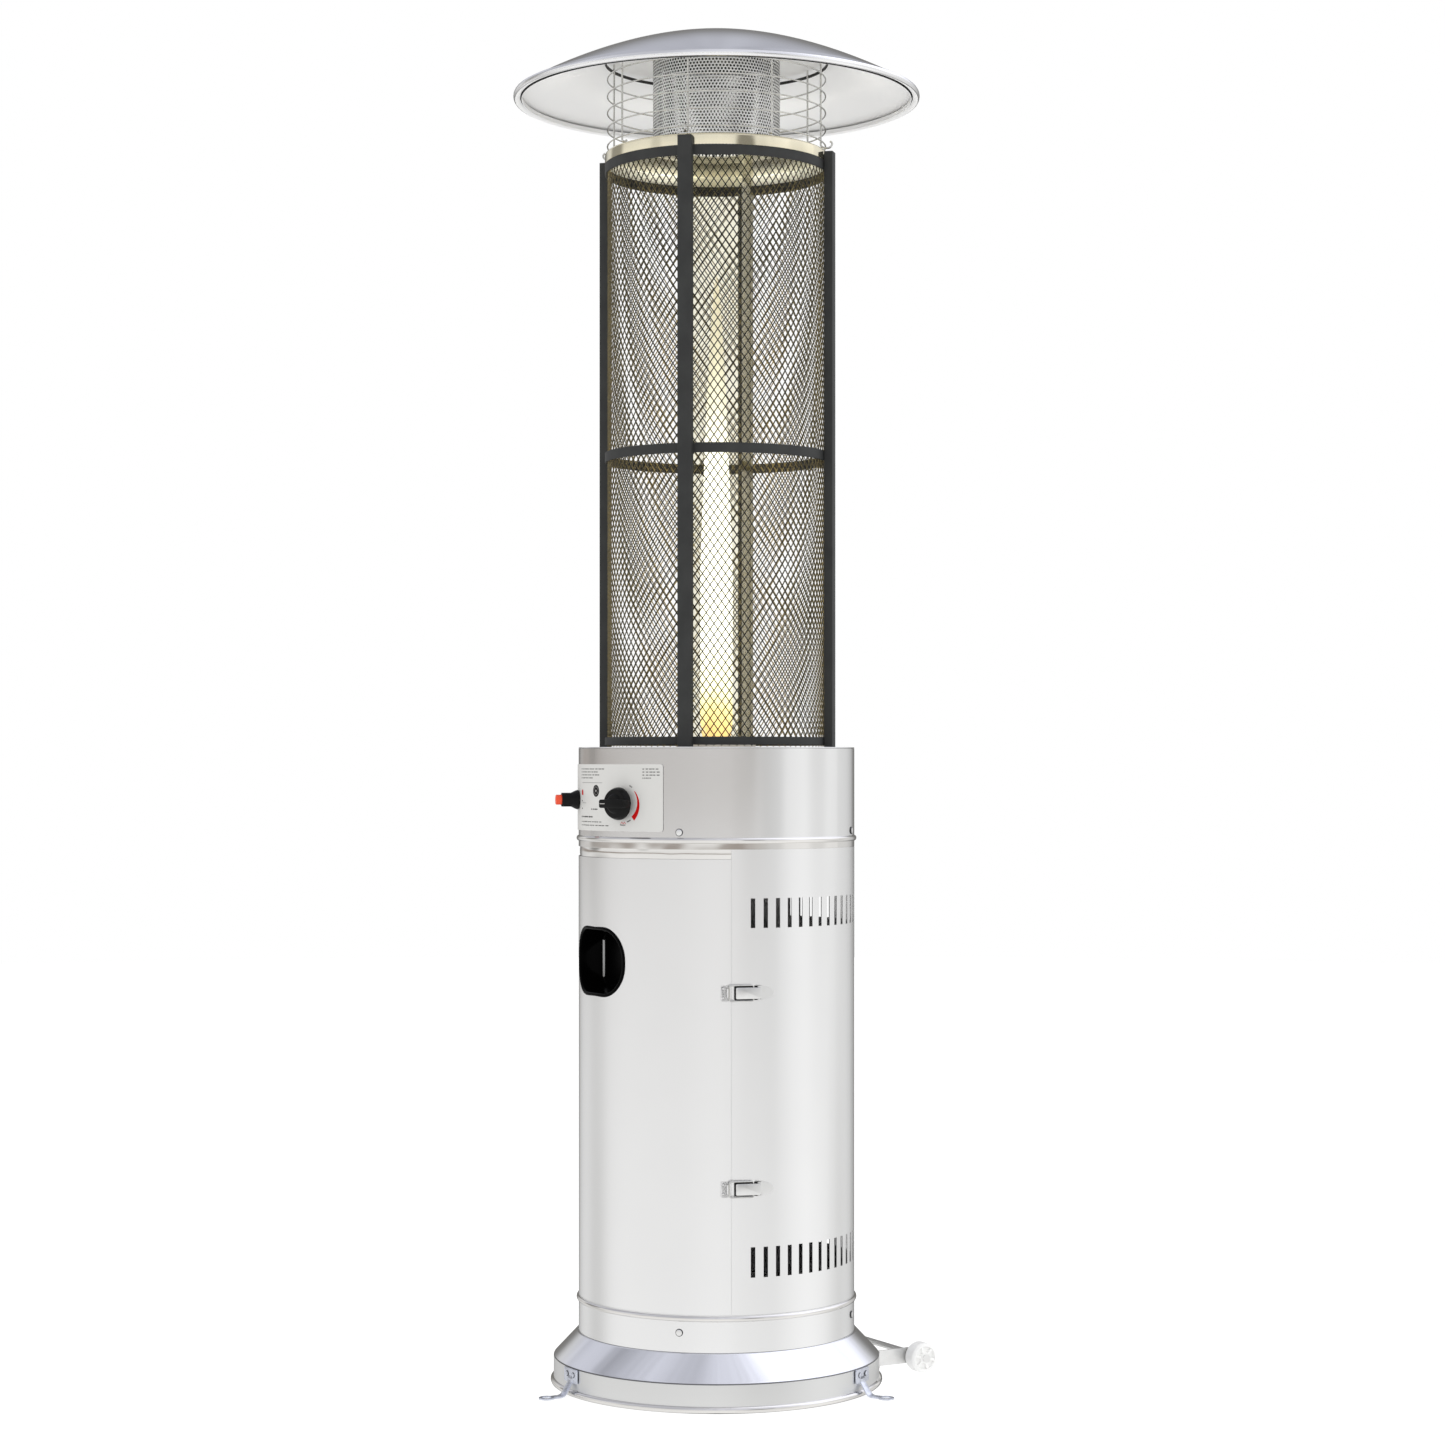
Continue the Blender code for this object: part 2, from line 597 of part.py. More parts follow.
def slot_cutter():
    """The two rows of vent slots, one box for each slot."""
    shape = bmesh.new()
    lower = LOWER_RING_TOP + SLOT_TO_BOTTOM
    upper = DOOR_TOP - SLOT_TO_TOP
    for bottom, top in ((lower, lower + LOWER_SLOT_LENGTH), (upper - UPPER_SLOT_LENGTH, upper)):
        for side in (-1, 1):
            for i in range(SLOTS_PER_SIDE):
                angle = 180 + side * (i + 0.5) * SLOT_PITCH_ANGLE
                made = bmesh.ops.create_cube(shape, size=1.0)["verts"]
                place = (Matrix.Translation(polar(BODY_RADIUS, angle, (bottom + top) / 2))
                         @ Matrix.Rotation(radians(angle), 4, 'Z')
                         @ Matrix.Diagonal((SLOT_WIDTH, 2 * OVERRUN, top - bottom, 1.0)))
                bmesh.ops.transform(shape, verts=made, matrix=place)
    return from_bmesh("cut_vent_slots", shape, smooth=False)


def build_rear_shell():
    half = 180 - DOOR_HALF_ANGLE - SEAM_ANGLE
    steps = 2 * round(half / SLOT_PITCH_ANGLE)
    shell = arc("rear_shell", BODY_RADIUS, LOWER_RING_TOP + GAP, HOUSING_BOTTOM - GAP, SHEET,
                180 - half, 180 + half, BRUSHED, steps)
    cut(shell, slot_cutter())


def handle_prism(name, grow, back, front):
    """The handle recess's rounded outline, run along Y between two depths."""
    outline = rounded(HANDLE_WIDTH / 2 + grow, HANDLE_HEIGHT / 2 + grow,
                      HANDLE_CORNER_RADIUS + grow)
    prism = extruded(name, outline, (front - back) / 2)
    return aim_out(prism, (front + back) / 2, 0, HANDLE_CENTRE_HEIGHT)


def build_door():
    steps = round(2 * DOOR_HALF_ANGLE / SLOT_PITCH_ANGLE)
    door = arc("door_panel", BODY_RADIUS, LOWER_RING_TOP + GAP, DOOR_TOP, SHEET,
               -DOOR_HALF_ANGLE, DOOR_HALF_ANGLE, BRUSHED, steps)
    reach = BODY_RADIUS + OVERRUN
    cut(door, handle_prism("cut_door_handle", 0, BODY_RADIUS - HANDLE_DEPTH, reach))
    return steps


def build_handle_cup(door_steps):
    """The moulded cup that fills the door's opening, with a lip on its outer face."""
    step = 2 * DOOR_HALF_ANGLE / door_steps
    lip_inner = (BODY_RADIUS + GAP) / facet_shrink(step)
    lip_outer = lip_inner + HANDLE_LIP_THICKNESS
    lip_half_angle = degrees(asin((HANDLE_WIDTH / 2 + 2 * HANDLE_LIP_WIDTH) / BODY_RADIUS))
    back = BODY_RADIUS - HANDLE_DEPTH
    front = lip_outer + OVERRUN
    cup = handle_prism("handle_cup", -GAP, back, front)
    cup.data.materials.append(BLACK_PLASTIC)
    bottom = HANDLE_CENTRE_HEIGHT - HANDLE_HEIGHT
    top = HANDLE_CENTRE_HEIGHT + HANDLE_HEIGHT
    trim = rod("trim_handle_cup", lip_outer, bottom, top, steps=2 * TURN_STEPS)
    combine(cup, trim, 'INTERSECT')
    lip = arc("join_handle_lip", lip_outer, bottom, top, HANDLE_LIP_THICKNESS,
              -lip_half_angle, lip_half_angle, steps=door_steps // 2)
    combine(lip, handle_prism("trim_handle_lip", HANDLE_LIP_WIDTH, back, front), 'INTERSECT')
    fuse(cup, lip)
    hollow = handle_prism("cut_handle_hollow", -GAP - HANDLE_WALL, back + HANDLE_WALL,
                          front + OVERRUN)
    cut(cup, hollow)


def build_housing():
    deck_bottom = DECK_TOP - DECK_THICKNESS
    housing = skin("control_housing",
                   [(SPIGOT_RADIUS - SPIGOT_LENGTH, deck_bottom - GAP),
                    (BODY_RADIUS, deck_bottom - GAP),
                    *bead(BODY_RADIUS, HOUSING_BEAD_HEIGHT),
                    (BODY_RADIUS, HOUSING_BOTTOM), (SPIGOT_RADIUS, HOUSING_BOTTOM),
                    (SPIGOT_RADIUS, DOOR_TOP - SPIGOT_LENGTH),
                    (FLANGE_RADIUS, DOOR_TOP - SPIGOT_LENGTH)],
                   SHEET, BRUSHED)
    cut(housing, control_hole("cut_housing_spindle", KNOB_ANGLE, KNOB_HEIGHT, SPINDLE_HOLE_RADIUS))
    cut(housing, control_hole("cut_housing_igniter", IGNITER_ANGLE, IGNITER_HEIGHT,
                              IGNITER_THREAD_RADIUS + RUNNING))
    turned("housing_deck", strip(BODY_RADIUS, deck_bottom, DECK_TOP,
                                 BODY_RADIUS - CUP_RADIUS - RUNNING), BRUSHED)


def inside_wall(face_radius):
    """How far out a flat round face can sit behind the housing's curved, facetted wall."""
    wall = (BODY_RADIUS - SHEET) * TURN_SHRINK
    return sqrt(wall ** 2 - face_radius ** 2) - GAP


def control_hole(name, angle, height, radius):
    hole = rod(name, radius, -OVERRUN, OVERRUN)
    return aim_out(hole, BODY_RADIUS, angle, height)


LABEL_FACE = (BODY_RADIUS + GAP) / facet_shrink(2 * LABEL_HALF_ANGLE / LABEL_STEPS) + LABEL_THICKNESS


def build_label():
    label = arc("control_label", LABEL_FACE, LABEL_BOTTOM, LABEL_BOTTOM + LABEL_HEIGHT,
                LABEL_THICKNESS, -LABEL_HALF_ANGLE, LABEL_HALF_ANGLE, LABEL_FILM, LABEL_STEPS)
    cut(label, control_hole("cut_label_spindle", KNOB_ANGLE, KNOB_HEIGHT, SPINDLE_HOLE_RADIUS))
    cut(label, control_hole("cut_label_igniter", IGNITER_ANGLE, IGNITER_HEIGHT,
                            IGNITER_THREAD_RADIUS + RUNNING))


def build_knob():
    """The knob's origin is on its back face, on the spindle's axis."""
    disc = turned("control_knob",
                  [(0, KNOB_DISC), (KNOB_SKIRT_RADIUS, KNOB_DISC),
                   (KNOB_RADIUS, KNOB_DISC - KNOB_EDGE), (KNOB_RADIUS, 0), (0, 0)],
                  BLACK_PLASTIC, TURN_STEPS)
    grip = extruded("join_knob_grip",
                    rounded(KNOB_GRIP_LENGTH / 2, KNOB_GRIP_HEIGHT / 2, KNOB_GRIP_HEIGHT / 4, 3),
                    (KNOB_LENGTH - KNOB_DISC / 2) / 2)
    bore = rod("cut_knob_bore", SPINDLE_RADIUS + RUNNING, -OVERRUN, KNOB_BORE_DEPTH)
    back = LABEL_FACE + KNOB_STAND_OFF
    fuse(disc, grip)
    cut(disc, bore)
    aim_out(disc, back, KNOB_ANGLE, KNOB_HEIGHT)
    aim_out(grip, back + (KNOB_LENGTH + KNOB_DISC / 2) / 2, KNOB_ANGLE, KNOB_HEIGHT)
    aim_out(bore, back, KNOB_ANGLE, KNOB_HEIGHT)
    return back


def build_valve(knob_back):
    """Valve body with its boss, spindle bore, pipe face and hose barb."""
    middle = (VALVE_BACK_RADIUS + VALVE_FRONT_RADIUS) / 2
    half_depth = (VALVE_FRONT_RADIUS - VALVE_BACK_RADIUS) / 2
    valve = box("gas_valve", (-VALVE_WIDTH / 2, -VALVE_HEIGHT / 2, -half_depth),
                (VALVE_WIDTH / 2, VALVE_HEIGHT / 2, half_depth), BRASS)
    bevel(valve, VALVE_EDGE)
    aim_out(valve, middle, KNOB_ANGLE, KNOB_HEIGHT)
    face = inside_wall(VALVE_BOSS_RADIUS)
    boss = rod("join_valve_boss", VALVE_BOSS_RADIUS, VALVE_FRONT_RADIUS - OVERRUN, face)
    fuse(valve, aim_out(boss, 0, KNOB_ANGLE, KNOB_HEIGHT))
    barb_top = KNOB_HEIGHT - VALVE_HEIGHT / 2
    outline = [(0, barb_top + OVERRUN), (BARB_RADIUS, barb_top + OVERRUN),
               (BARB_RADIUS, barb_top - BARB_STEM)]
    for i in range(BARB_RIDGES):
        foot = barb_top - BARB_STEM - i * BARB_PITCH
        outline += [(BARB_RADIUS + BARB_RIDGE, foot), (BARB_RADIUS, foot - BARB_PITCH)]
    outline.append((0, outline[-1][1]))
    barb = turned("join_hose_barb", outline, steps=SMALL_STEPS)
    barb.location = polar(middle, KNOB_ANGLE)
    fuse(valve, barb)
    bore = rod("cut_valve_spindle", SPINDLE_RADIUS + RUNNING, middle, face + OVERRUN)
    cut(valve, aim_out(bore, 0, KNOB_ANGLE, KNOB_HEIGHT))
    spindle_end = knob_back + KNOB_BORE_DEPTH - KNOB_TRAVEL - RUNNING
    spindle_start = middle + RUNNING
    spindle = rod("valve_spindle", SPINDLE_RADIUS, 0, spindle_end - spindle_start, BRASS)
    aim_out(spindle, spindle_start, KNOB_ANGLE, KNOB_HEIGHT)


def build_igniter():
    """Threaded piezo igniter, clamped to the housing wall by its collar and nut."""
    label_out = LABEL_FACE + GAP
    wall_in = inside_wall(IGNITER_NUT_RADIUS)
    bore = IGNITER_SLEEVE_RADIUS - IGNITER_SLEEVE_WALL
    bore_floor = label_out + IGNITER_SLEEVE_LENGTH + BUTTON_PROJECTION - BUTTON_LENGTH \
        - BUTTON_TRAVEL - RUNNING
    sleeve_end = label_out + IGNITER_SLEEVE_LENGTH
    nut_back = wall_in - IGNITER_NUT_THICKNESS
    body = turned("igniter_body",
                  [(bore, sleeve_end), (IGNITER_SLEEVE_RADIUS, sleeve_end),
                   (IGNITER_SLEEVE_RADIUS, label_out + IGNITER_COLLAR_LENGTH + IGNITER_FLARE_LENGTH),
                   (IGNITER_COLLAR_RADIUS, label_out + IGNITER_COLLAR_LENGTH),
                   (IGNITER_COLLAR_RADIUS, label_out), (IGNITER_THREAD_RADIUS, label_out),
                   (IGNITER_THREAD_RADIUS, wall_in), (IGNITER_NUT_RADIUS, wall_in),
                   (IGNITER_NUT_RADIUS, nut_back), (IGNITER_THREAD_RADIUS, nut_back),
                   (IGNITER_THREAD_RADIUS, nut_back - IGNITER_TAIL_LENGTH),
                   (0, nut_back - IGNITER_TAIL_LENGTH), (0, bore_floor), (bore, bore_floor)],
                  BLACK_PLASTIC, SMALL_STEPS)
    aim_out(body, 0, IGNITER_ANGLE, IGNITER_HEIGHT)
    button_radius = bore * SMALL_SHRINK - RUNNING
    button_back = sleeve_end + BUTTON_PROJECTION - BUTTON_LENGTH
    button = rod("igniter_button", button_radius, 0, BUTTON_LENGTH, ORANGE_PLASTIC)
    bevel(button, KNOB_EDGE / 2)
    aim_out(button, button_back, IGNITER_ANGLE, IGNITER_HEIGHT)


def build_gas_train():
    """Supply pipe, burner cup, pilot, flame probe and tilt switch."""
    flange_bottom = DECK_TOP + GAP
    flange_top = flange_bottom + CUP_WALL
    cup_floor = flange_top - CUP_DEPTH
    inner = CUP_RADIUS - CUP_WALL
    turned("burner_cup",
           [(inner, flange_top), (CUP_FLANGE_RADIUS, flange_top),
            (CUP_FLANGE_RADIUS, flange_bottom), (CUP_RADIUS, flange_bottom),
            (CUP_RADIUS, cup_floor), (0, cup_floor), (0, cup_floor + CUP_WALL),
            (inner, cup_floor + CUP_WALL)],
           GALVANISED, 2 * SMALL_STEPS)
    start = VALVE_BACK_RADIUS - GAP
    route = [polar(start, KNOB_ANGLE, KNOB_HEIGHT)]
    for i in range(PIPE_BEND_STEPS + 1):
        turn = radians(90 * i / PIPE_BEND_STEPS)
        out = PIPE_BEND_RADIUS * (1 - sin(turn))
        up = PIPE_BEND_RADIUS * (1 - cos(turn))
        route.append(polar(out, KNOB_ANGLE, KNOB_HEIGHT + up))
    route.append(Vector((0, 0, cup_floor - GAP)))
    curve_path("burner_pipe", route, PIPE_RADIUS, ALUMINIUM, sides_level=2)
    stand = cup_floor + CUP_WALL + GAP
    tip = flange_top + PROBE_RISE
    pilot = turned("pilot_burner",
                   [(0, tip), (PILOT_HOOD_RADIUS, tip),
                    (PILOT_HOOD_RADIUS, tip - PILOT_HOOD_LENGTH),
                    (PILOT_RADIUS, tip - PILOT_HOOD_LENGTH), (PILOT_RADIUS, stand), (0, stand)],
                   BRASS, SMALL_STEPS)
    pilot.location = polar(PILOT_PLACE_RADIUS, PILOT_ANGLE)
    probe = turned("flame_probe",
                   [(0, tip), (PROBE_RADIUS, tip), (PROBE_RADIUS, stand + PROBE_COLLAR_LENGTH),
                    (PROBE_COLLAR_RADIUS, stand + PROBE_COLLAR_LENGTH),
                    (PROBE_COLLAR_RADIUS, stand), (0, stand)],
                   CERAMIC, SMALL_STEPS)
    probe.location = polar(PILOT_PLACE_RADIUS, PROBE_ANGLE)
    floor = DOOR_TOP - SPIGOT_LENGTH + SHEET + GAP
    head = floor + SWITCH_LENGTH
    switch = turned("tilt_switch",
                    [(0, head + SWITCH_CAP_LENGTH), (SWITCH_CAP_RADIUS, head + SWITCH_CAP_LENGTH),
                     (SWITCH_CAP_RADIUS, head), (SWITCH_RADIUS, head), (SWITCH_RADIUS, floor),
                     (0, floor)],
                    BLACK_PLASTIC, SMALL_STEPS)
    switch.location = polar(SWITCH_PLACE_RADIUS, SWITCH_ANGLE)


def build_flame_tube():
    seat_bottom = DECK_TOP + GAP
    groove_floor = seat_bottom + SEAT_FLOOR
    glass_inner = GLASS_RADIUS - GLASS_WALL
    groove_outer = (GLASS_RADIUS + GAP) / TURN_SHRINK
    groove_inner = glass_inner * TURN_SHRINK - GAP
    seat_top = groove_floor + SEAT_DEPTH
    turned("glass_seat",
           [(groove_outer, seat_top), (groove_outer + SEAT_WALL, seat_top),
            (groove_outer + SEAT_WALL, seat_bottom), (groove_inner - SEAT_WALL, seat_bottom),
            (groove_inner - SEAT_WALL, seat_top), (groove_inner, seat_top),
            (groove_inner, groove_floor), (groove_outer, groove_floor)],
           CERAMIC)
    turned("glass_tube", strip(GLASS_RADIUS, groove_floor + GAP, GLASS_TOP, GLASS_WALL), GLASS)


def build_net(name, start):
    """A quarter of the guard's expanded-metal net, with coarse diamonds."""
    bottom = DECK_TOP + GAP
    top = TOP_HOOP_BOTTOM + HOOP_HEIGHT
    shape = bmesh.new()
    bmesh.ops.create_grid(shape, x_segments=NET_COLUMNS, y_segments=NET_ROWS, size=0.5)
    inner = [edge for edge in shape.edges if not edge.is_boundary]
    bmesh.ops.poke(shape, faces=shape.faces[:])
    bmesh.ops.dissolve_edges(shape, edges=inner, use_verts=False)
    margin = degrees((NET_STRAND + GAP) / NET_RADIUS)
    for vert in shape.verts:
        angle = start + margin + (vert.co.x + 0.5) * (90 - 2 * margin)
        height = bottom + NET_STRAND + (vert.co.y + 0.5) * (top - bottom - 2 * NET_STRAND)
        vert.co = polar(NET_RADIUS, angle, height)
    net = from_bmesh(name, shape, BLACK_COAT)
    strands = net.modifiers.new("Strands", 'WIREFRAME')
    strands.thickness = NET_STRAND
    strands.use_even_offset = False
    strands.use_boundary = True


def build_guard():
    half = POST_WIDTH / 2
    back = -HOOP_RADIUS - GAP
    front = back - POST_DEPTH
    channel = [(-half, back), (-half, front), (half, front), (half, back),
               (half - POST_SHEET, back), (half - POST_SHEET, front + POST_SHEET),
               (-half + POST_SHEET, front + POST_SHEET), (-half + POST_SHEET, back)]
    foot = DECK_TOP + GAP
    for i, angle in enumerate(POST_ANGLES):
        post = extruded("guard_post_%d" % (i + 1), channel, (POST_TOP - foot) / 2, BLACK_COAT)
        face_out(post, angle, height=(POST_TOP + foot) / 2)
        build_net("guard_net_%d" % (i + 1), angle)
    for name, bottom in (("guard_hoop_bottom", foot), ("guard_hoop_middle", MIDDLE_HOOP_BOTTOM),
                         ("guard_hoop_top", TOP_HOOP_BOTTOM)):
        turned(name, strip(HOOP_RADIUS, bottom, bottom + HOOP_HEIGHT, HOOP_DEPTH), BLACK_COAT)


def dome_height(radius):
    """Height of the reflector's outer face at a radius."""
    return REFLECTOR_TOP - DOME_RISE * (radius / REFLECTOR_DOME_RADIUS) ** REFLECTOR_POWER


def wire_ring(name, height, finish=None):
    outline = [(CAGE_RADIUS + CAGE_WIRE_RADIUS * cos(radians(a)),
                height + CAGE_WIRE_RADIUS * sin(radians(a))) for a in (90, 0, -90, 180)]
    return turned(name, outline, finish, CAGE_STEPS)


def build_head():
    skin("top_collar",
         [((GLASS_RADIUS + GAP) / TURN_SHRINK, COLLAR_SEAT_HEIGHT),
          (COLLAR_SEAT_RADIUS, COLLAR_SEAT_HEIGHT),
          (COLLAR_SHOULDER_RADIUS, COLLAR_SHOULDER_HEIGHT), (HOOP_RADIUS, COLLAR_EDGE_HEIGHT),
          (HOOP_RADIUS, TOP_HOOP_BOTTOM + HOOP_HEIGHT + GAP)],
         COLLAR_SHEET, POLISHED)
    skin("emitter",
         [(0, EMITTER_TOP), (EMITTER_CROWN_RADIUS, EMITTER_TOP - SHEET),
          (EMITTER_RADIUS, EMITTER_SHOULDER), (EMITTER_RADIUS, COLLAR_SEAT_HEIGHT + GAP)],
         SHEET, PERFORATED)
    first = COLLAR_SHOULDER_HEIGHT + CAGE_FIRST_RING
    cage = wire_ring("emitter_cage", first, WIRE)
    for i in range(1, CAGE_RINGS):
        fuse(cage, wire_ring("join_cage_ring_%d" % (i + 1), first + i * CAGE_RING_PITCH))
    foot = COLLAR_SHOULDER_HEIGHT + CAGE_FOOT_LIFT
    head = dome_height(CAGE_RADIUS) - SHEET - CAGE_HEAD_DROP
    for i in range(CAGE_POSTS):
        angle = 360 * i / CAGE_POSTS
        wire = rod("join_cage_wire_%d" % (i + 1), CAGE_WIRE_RADIUS, foot, head, steps=4)
        wire.location = polar(CAGE_RADIUS, angle)
        wire.rotation_euler.z = radians(angle + 45)     # its flat sides face along the radius
        fuse(cage, wire)
    inner = (CAGE_RADIUS + CAGE_WIRE_RADIUS + GAP) / TURN_SHRINK
    outer = inner + HOOP_BAND_DEPTH
    band_top = dome_height(outer) - HOOP_BAND_DROP
    hoop = turned("cage_hoop",
                  strip(outer, band_top - HOOP_BAND_HEIGHT, band_top, HOOP_BAND_DEPTH), BLACK_COAT)
    hoop.rotation_euler.z += radians(180.0 / TURN_STEPS)    # the wires meet facets, not corners
    dome = [(0, REFLECTOR_TOP)]
    for i in range(1, REFLECTOR_RINGS + 1):
        radius = REFLECTOR_DOME_RADIUS * (i / REFLECTOR_RINGS)
        dome.append((radius, dome_height(radius)))
    lip = [(REFLECTOR_DOME_RADIUS + out * REFLECTOR_LIP_WIDTH,
            REFLECTOR_RIM_HEIGHT - (1 - up) * REFLECTOR_LIP) for out, up in LIP_SHARES]
    skin("reflector", dome + lip, SHEET, POLISHED)


def build_anchor(name, angle):
    """A foot with its plate on the base's band and its eye on the floor."""
    back = BAND_RADIUS + GAP
    plate = box(name, (-ANCHOR_PLATE_WIDTH / 2, -back - ANCHOR_SHEET, ANCHOR_PLATE_BOTTOM),
                (ANCHOR_PLATE_WIDTH / 2, -back, BAND_TOP), ZINC)
    sheet = ANCHOR_SHEET
    eye_start = ANCHOR_EYE_PLACE - ANCHOR_EYE_BORE
    bend = ANCHOR_PLATE_BOTTOM + sheet
    outline = [(back, bend + sheet), (back, bend), (ANCHOR_TOE_RADIUS - sheet / 2, 0),
               (eye_start, 0), (eye_start, sheet), (ANCHOR_TOE_RADIUS + sheet / 2, sheet),
               (back + sheet, bend), (back + sheet, bend + sheet)]
    strap = extruded("join_%s_strap" % name, outline, ANCHOR_STRAP_WIDTH / 2)
    strap.rotation_euler = (radians(90), 0, radians(angle - 90))
    fuse(plate, strap)
    eye = rod("join_%s_eye" % name, ANCHOR_EYE_RADIUS, 0, sheet)
    eye.location = polar(ANCHOR_EYE_PLACE, angle)
    fuse(plate, eye)
    hole = rod("cut_%s_eye" % name, ANCHOR_EYE_BORE, -OVERRUN, sheet + OVERRUN)
    hole.location = polar(ANCHOR_EYE_PLACE, angle)
    cut(plate, hole)
    face_out(plate, angle)


def build_wheels():
    out = BAND_RADIUS + GAP
    tab = degrees(asin(BRACKET_HALF_WIDTH / out)) + BRACKET_TAB_ANGLE
    steps = TURN_STEPS // 4
    inner = out / facet_shrink(2 * tab / steps)
    bracket = freeze(arc("wheel_bracket", inner + BRACKET_SHEET, BRACKET_BOTTOM, BRACKET_TOP,
                         BRACKET_SHEET, 180 - tab, 180 + tab, ZINC, steps))
    root = sqrt((inner + BRACKET_SHEET / 2) ** 2 - BRACKET_HALF_WIDTH ** 2)
    for side in (-1, 1):
        edges = sorted((side * BRACKET_HALF_WIDTH, side * (BRACKET_HALF_WIDTH - BRACKET_SHEET)))
        fuse(bracket, box("join_bracket_arm_%d" % side, (edges[0], root, BRACKET_BOTTOM),
                          (edges[1], BRACKET_END, BRACKET_TOP)))
    middle = BRACKET_HALF_WIDTH - BRACKET_SHEET / 2
    fuse(bracket, box("join_bracket_tie",
                      (-middle, BRACKET_TIE_PLACE - BRACKET_TIE_WIDTH / 2,
                       BRACKET_TOP - 2 * BRACKET_SHEET),
                      (middle, BRACKET_TIE_PLACE + BRACKET_TIE_WIDTH / 2,
                       BRACKET_TOP - BRACKET_SHEET)))
    hole = rod("cut_bracket_axle", AXLE_RADIUS + RUNNING, -BRACKET_HALF_WIDTH - OVERRUN,
               BRACKET_HALF_WIDTH + OVERRUN)
    hole.rotation_euler.y = radians(90)
    hole.location = (0, AXLE_PLACE, AXLE_HEIGHT)
    cut(bracket, hole)
    hub_end = WHEEL_CENTRE + WHEEL_HUB_WIDTH / 2
    head = hub_end + RUNNING
    axle = turned("wheel_axle",
                  [(0, head + AXLE_HEAD_LENGTH), (AXLE_HEAD_RADIUS, head + AXLE_HEAD_LENGTH),
                   (AXLE_HEAD_RADIUS, head), (AXLE_RADIUS, head), (AXLE_RADIUS, -head),
                   (AXLE_HEAD_RADIUS, -head), (AXLE_HEAD_RADIUS, -head - AXLE_HEAD_LENGTH),
                   (0, -head - AXLE_HEAD_LENGTH)],
                  ZINC, SMALL_STEPS)
    axle.rotation_euler = (0, radians(90), 0)
    axle.location = (0, AXLE_PLACE, AXLE_HEIGHT)
    bore = AXLE_RADIUS + RUNNING
    hub = WHEEL_HUB_WIDTH / 2
    tread = WHEEL_WIDTH / 2
    for name, side in (("wheel_left", -1), ("wheel_right", 1)):
        wheel = turned(name,
                       [(bore, hub), (WHEEL_HUB_RADIUS, hub),
                        (WHEEL_HUB_RADIUS, tread), (WHEEL_RADIUS - WHEEL_EDGE, tread),
                        (WHEEL_RADIUS, tread - WHEEL_EDGE), (WHEEL_RADIUS, -tread + WHEEL_EDGE),
                        (WHEEL_RADIUS - WHEEL_EDGE, -tread), (WHEEL_HUB_RADIUS, -tread),
                        (WHEEL_HUB_RADIUS, -hub), (bore, -hub)],
                       WHITE_PLASTIC, TURN_STEPS // 2)
        wheel.rotation_euler = (0, radians(90), 0)
        wheel.location = (side * WHEEL_CENTRE, AXLE_PLACE, AXLE_HEIGHT)


def latch_box(name, along, out, up, side, angle, height, finish=None):
    """A box in a latch's own frame: along the tangent, out from the axis and up."""
    x = sorted(side * value for value in along)
    made = box(name, (x[0], -out[1], up[0]), (x[1], -out[0], up[1]), finish)
    return face_out(made, angle, height=height)


def along_body(distance):
    """The angle that lies this far along the body from a latch's middle."""
    return LATCH_ANGLE + degrees(distance / BODY_RADIUS)


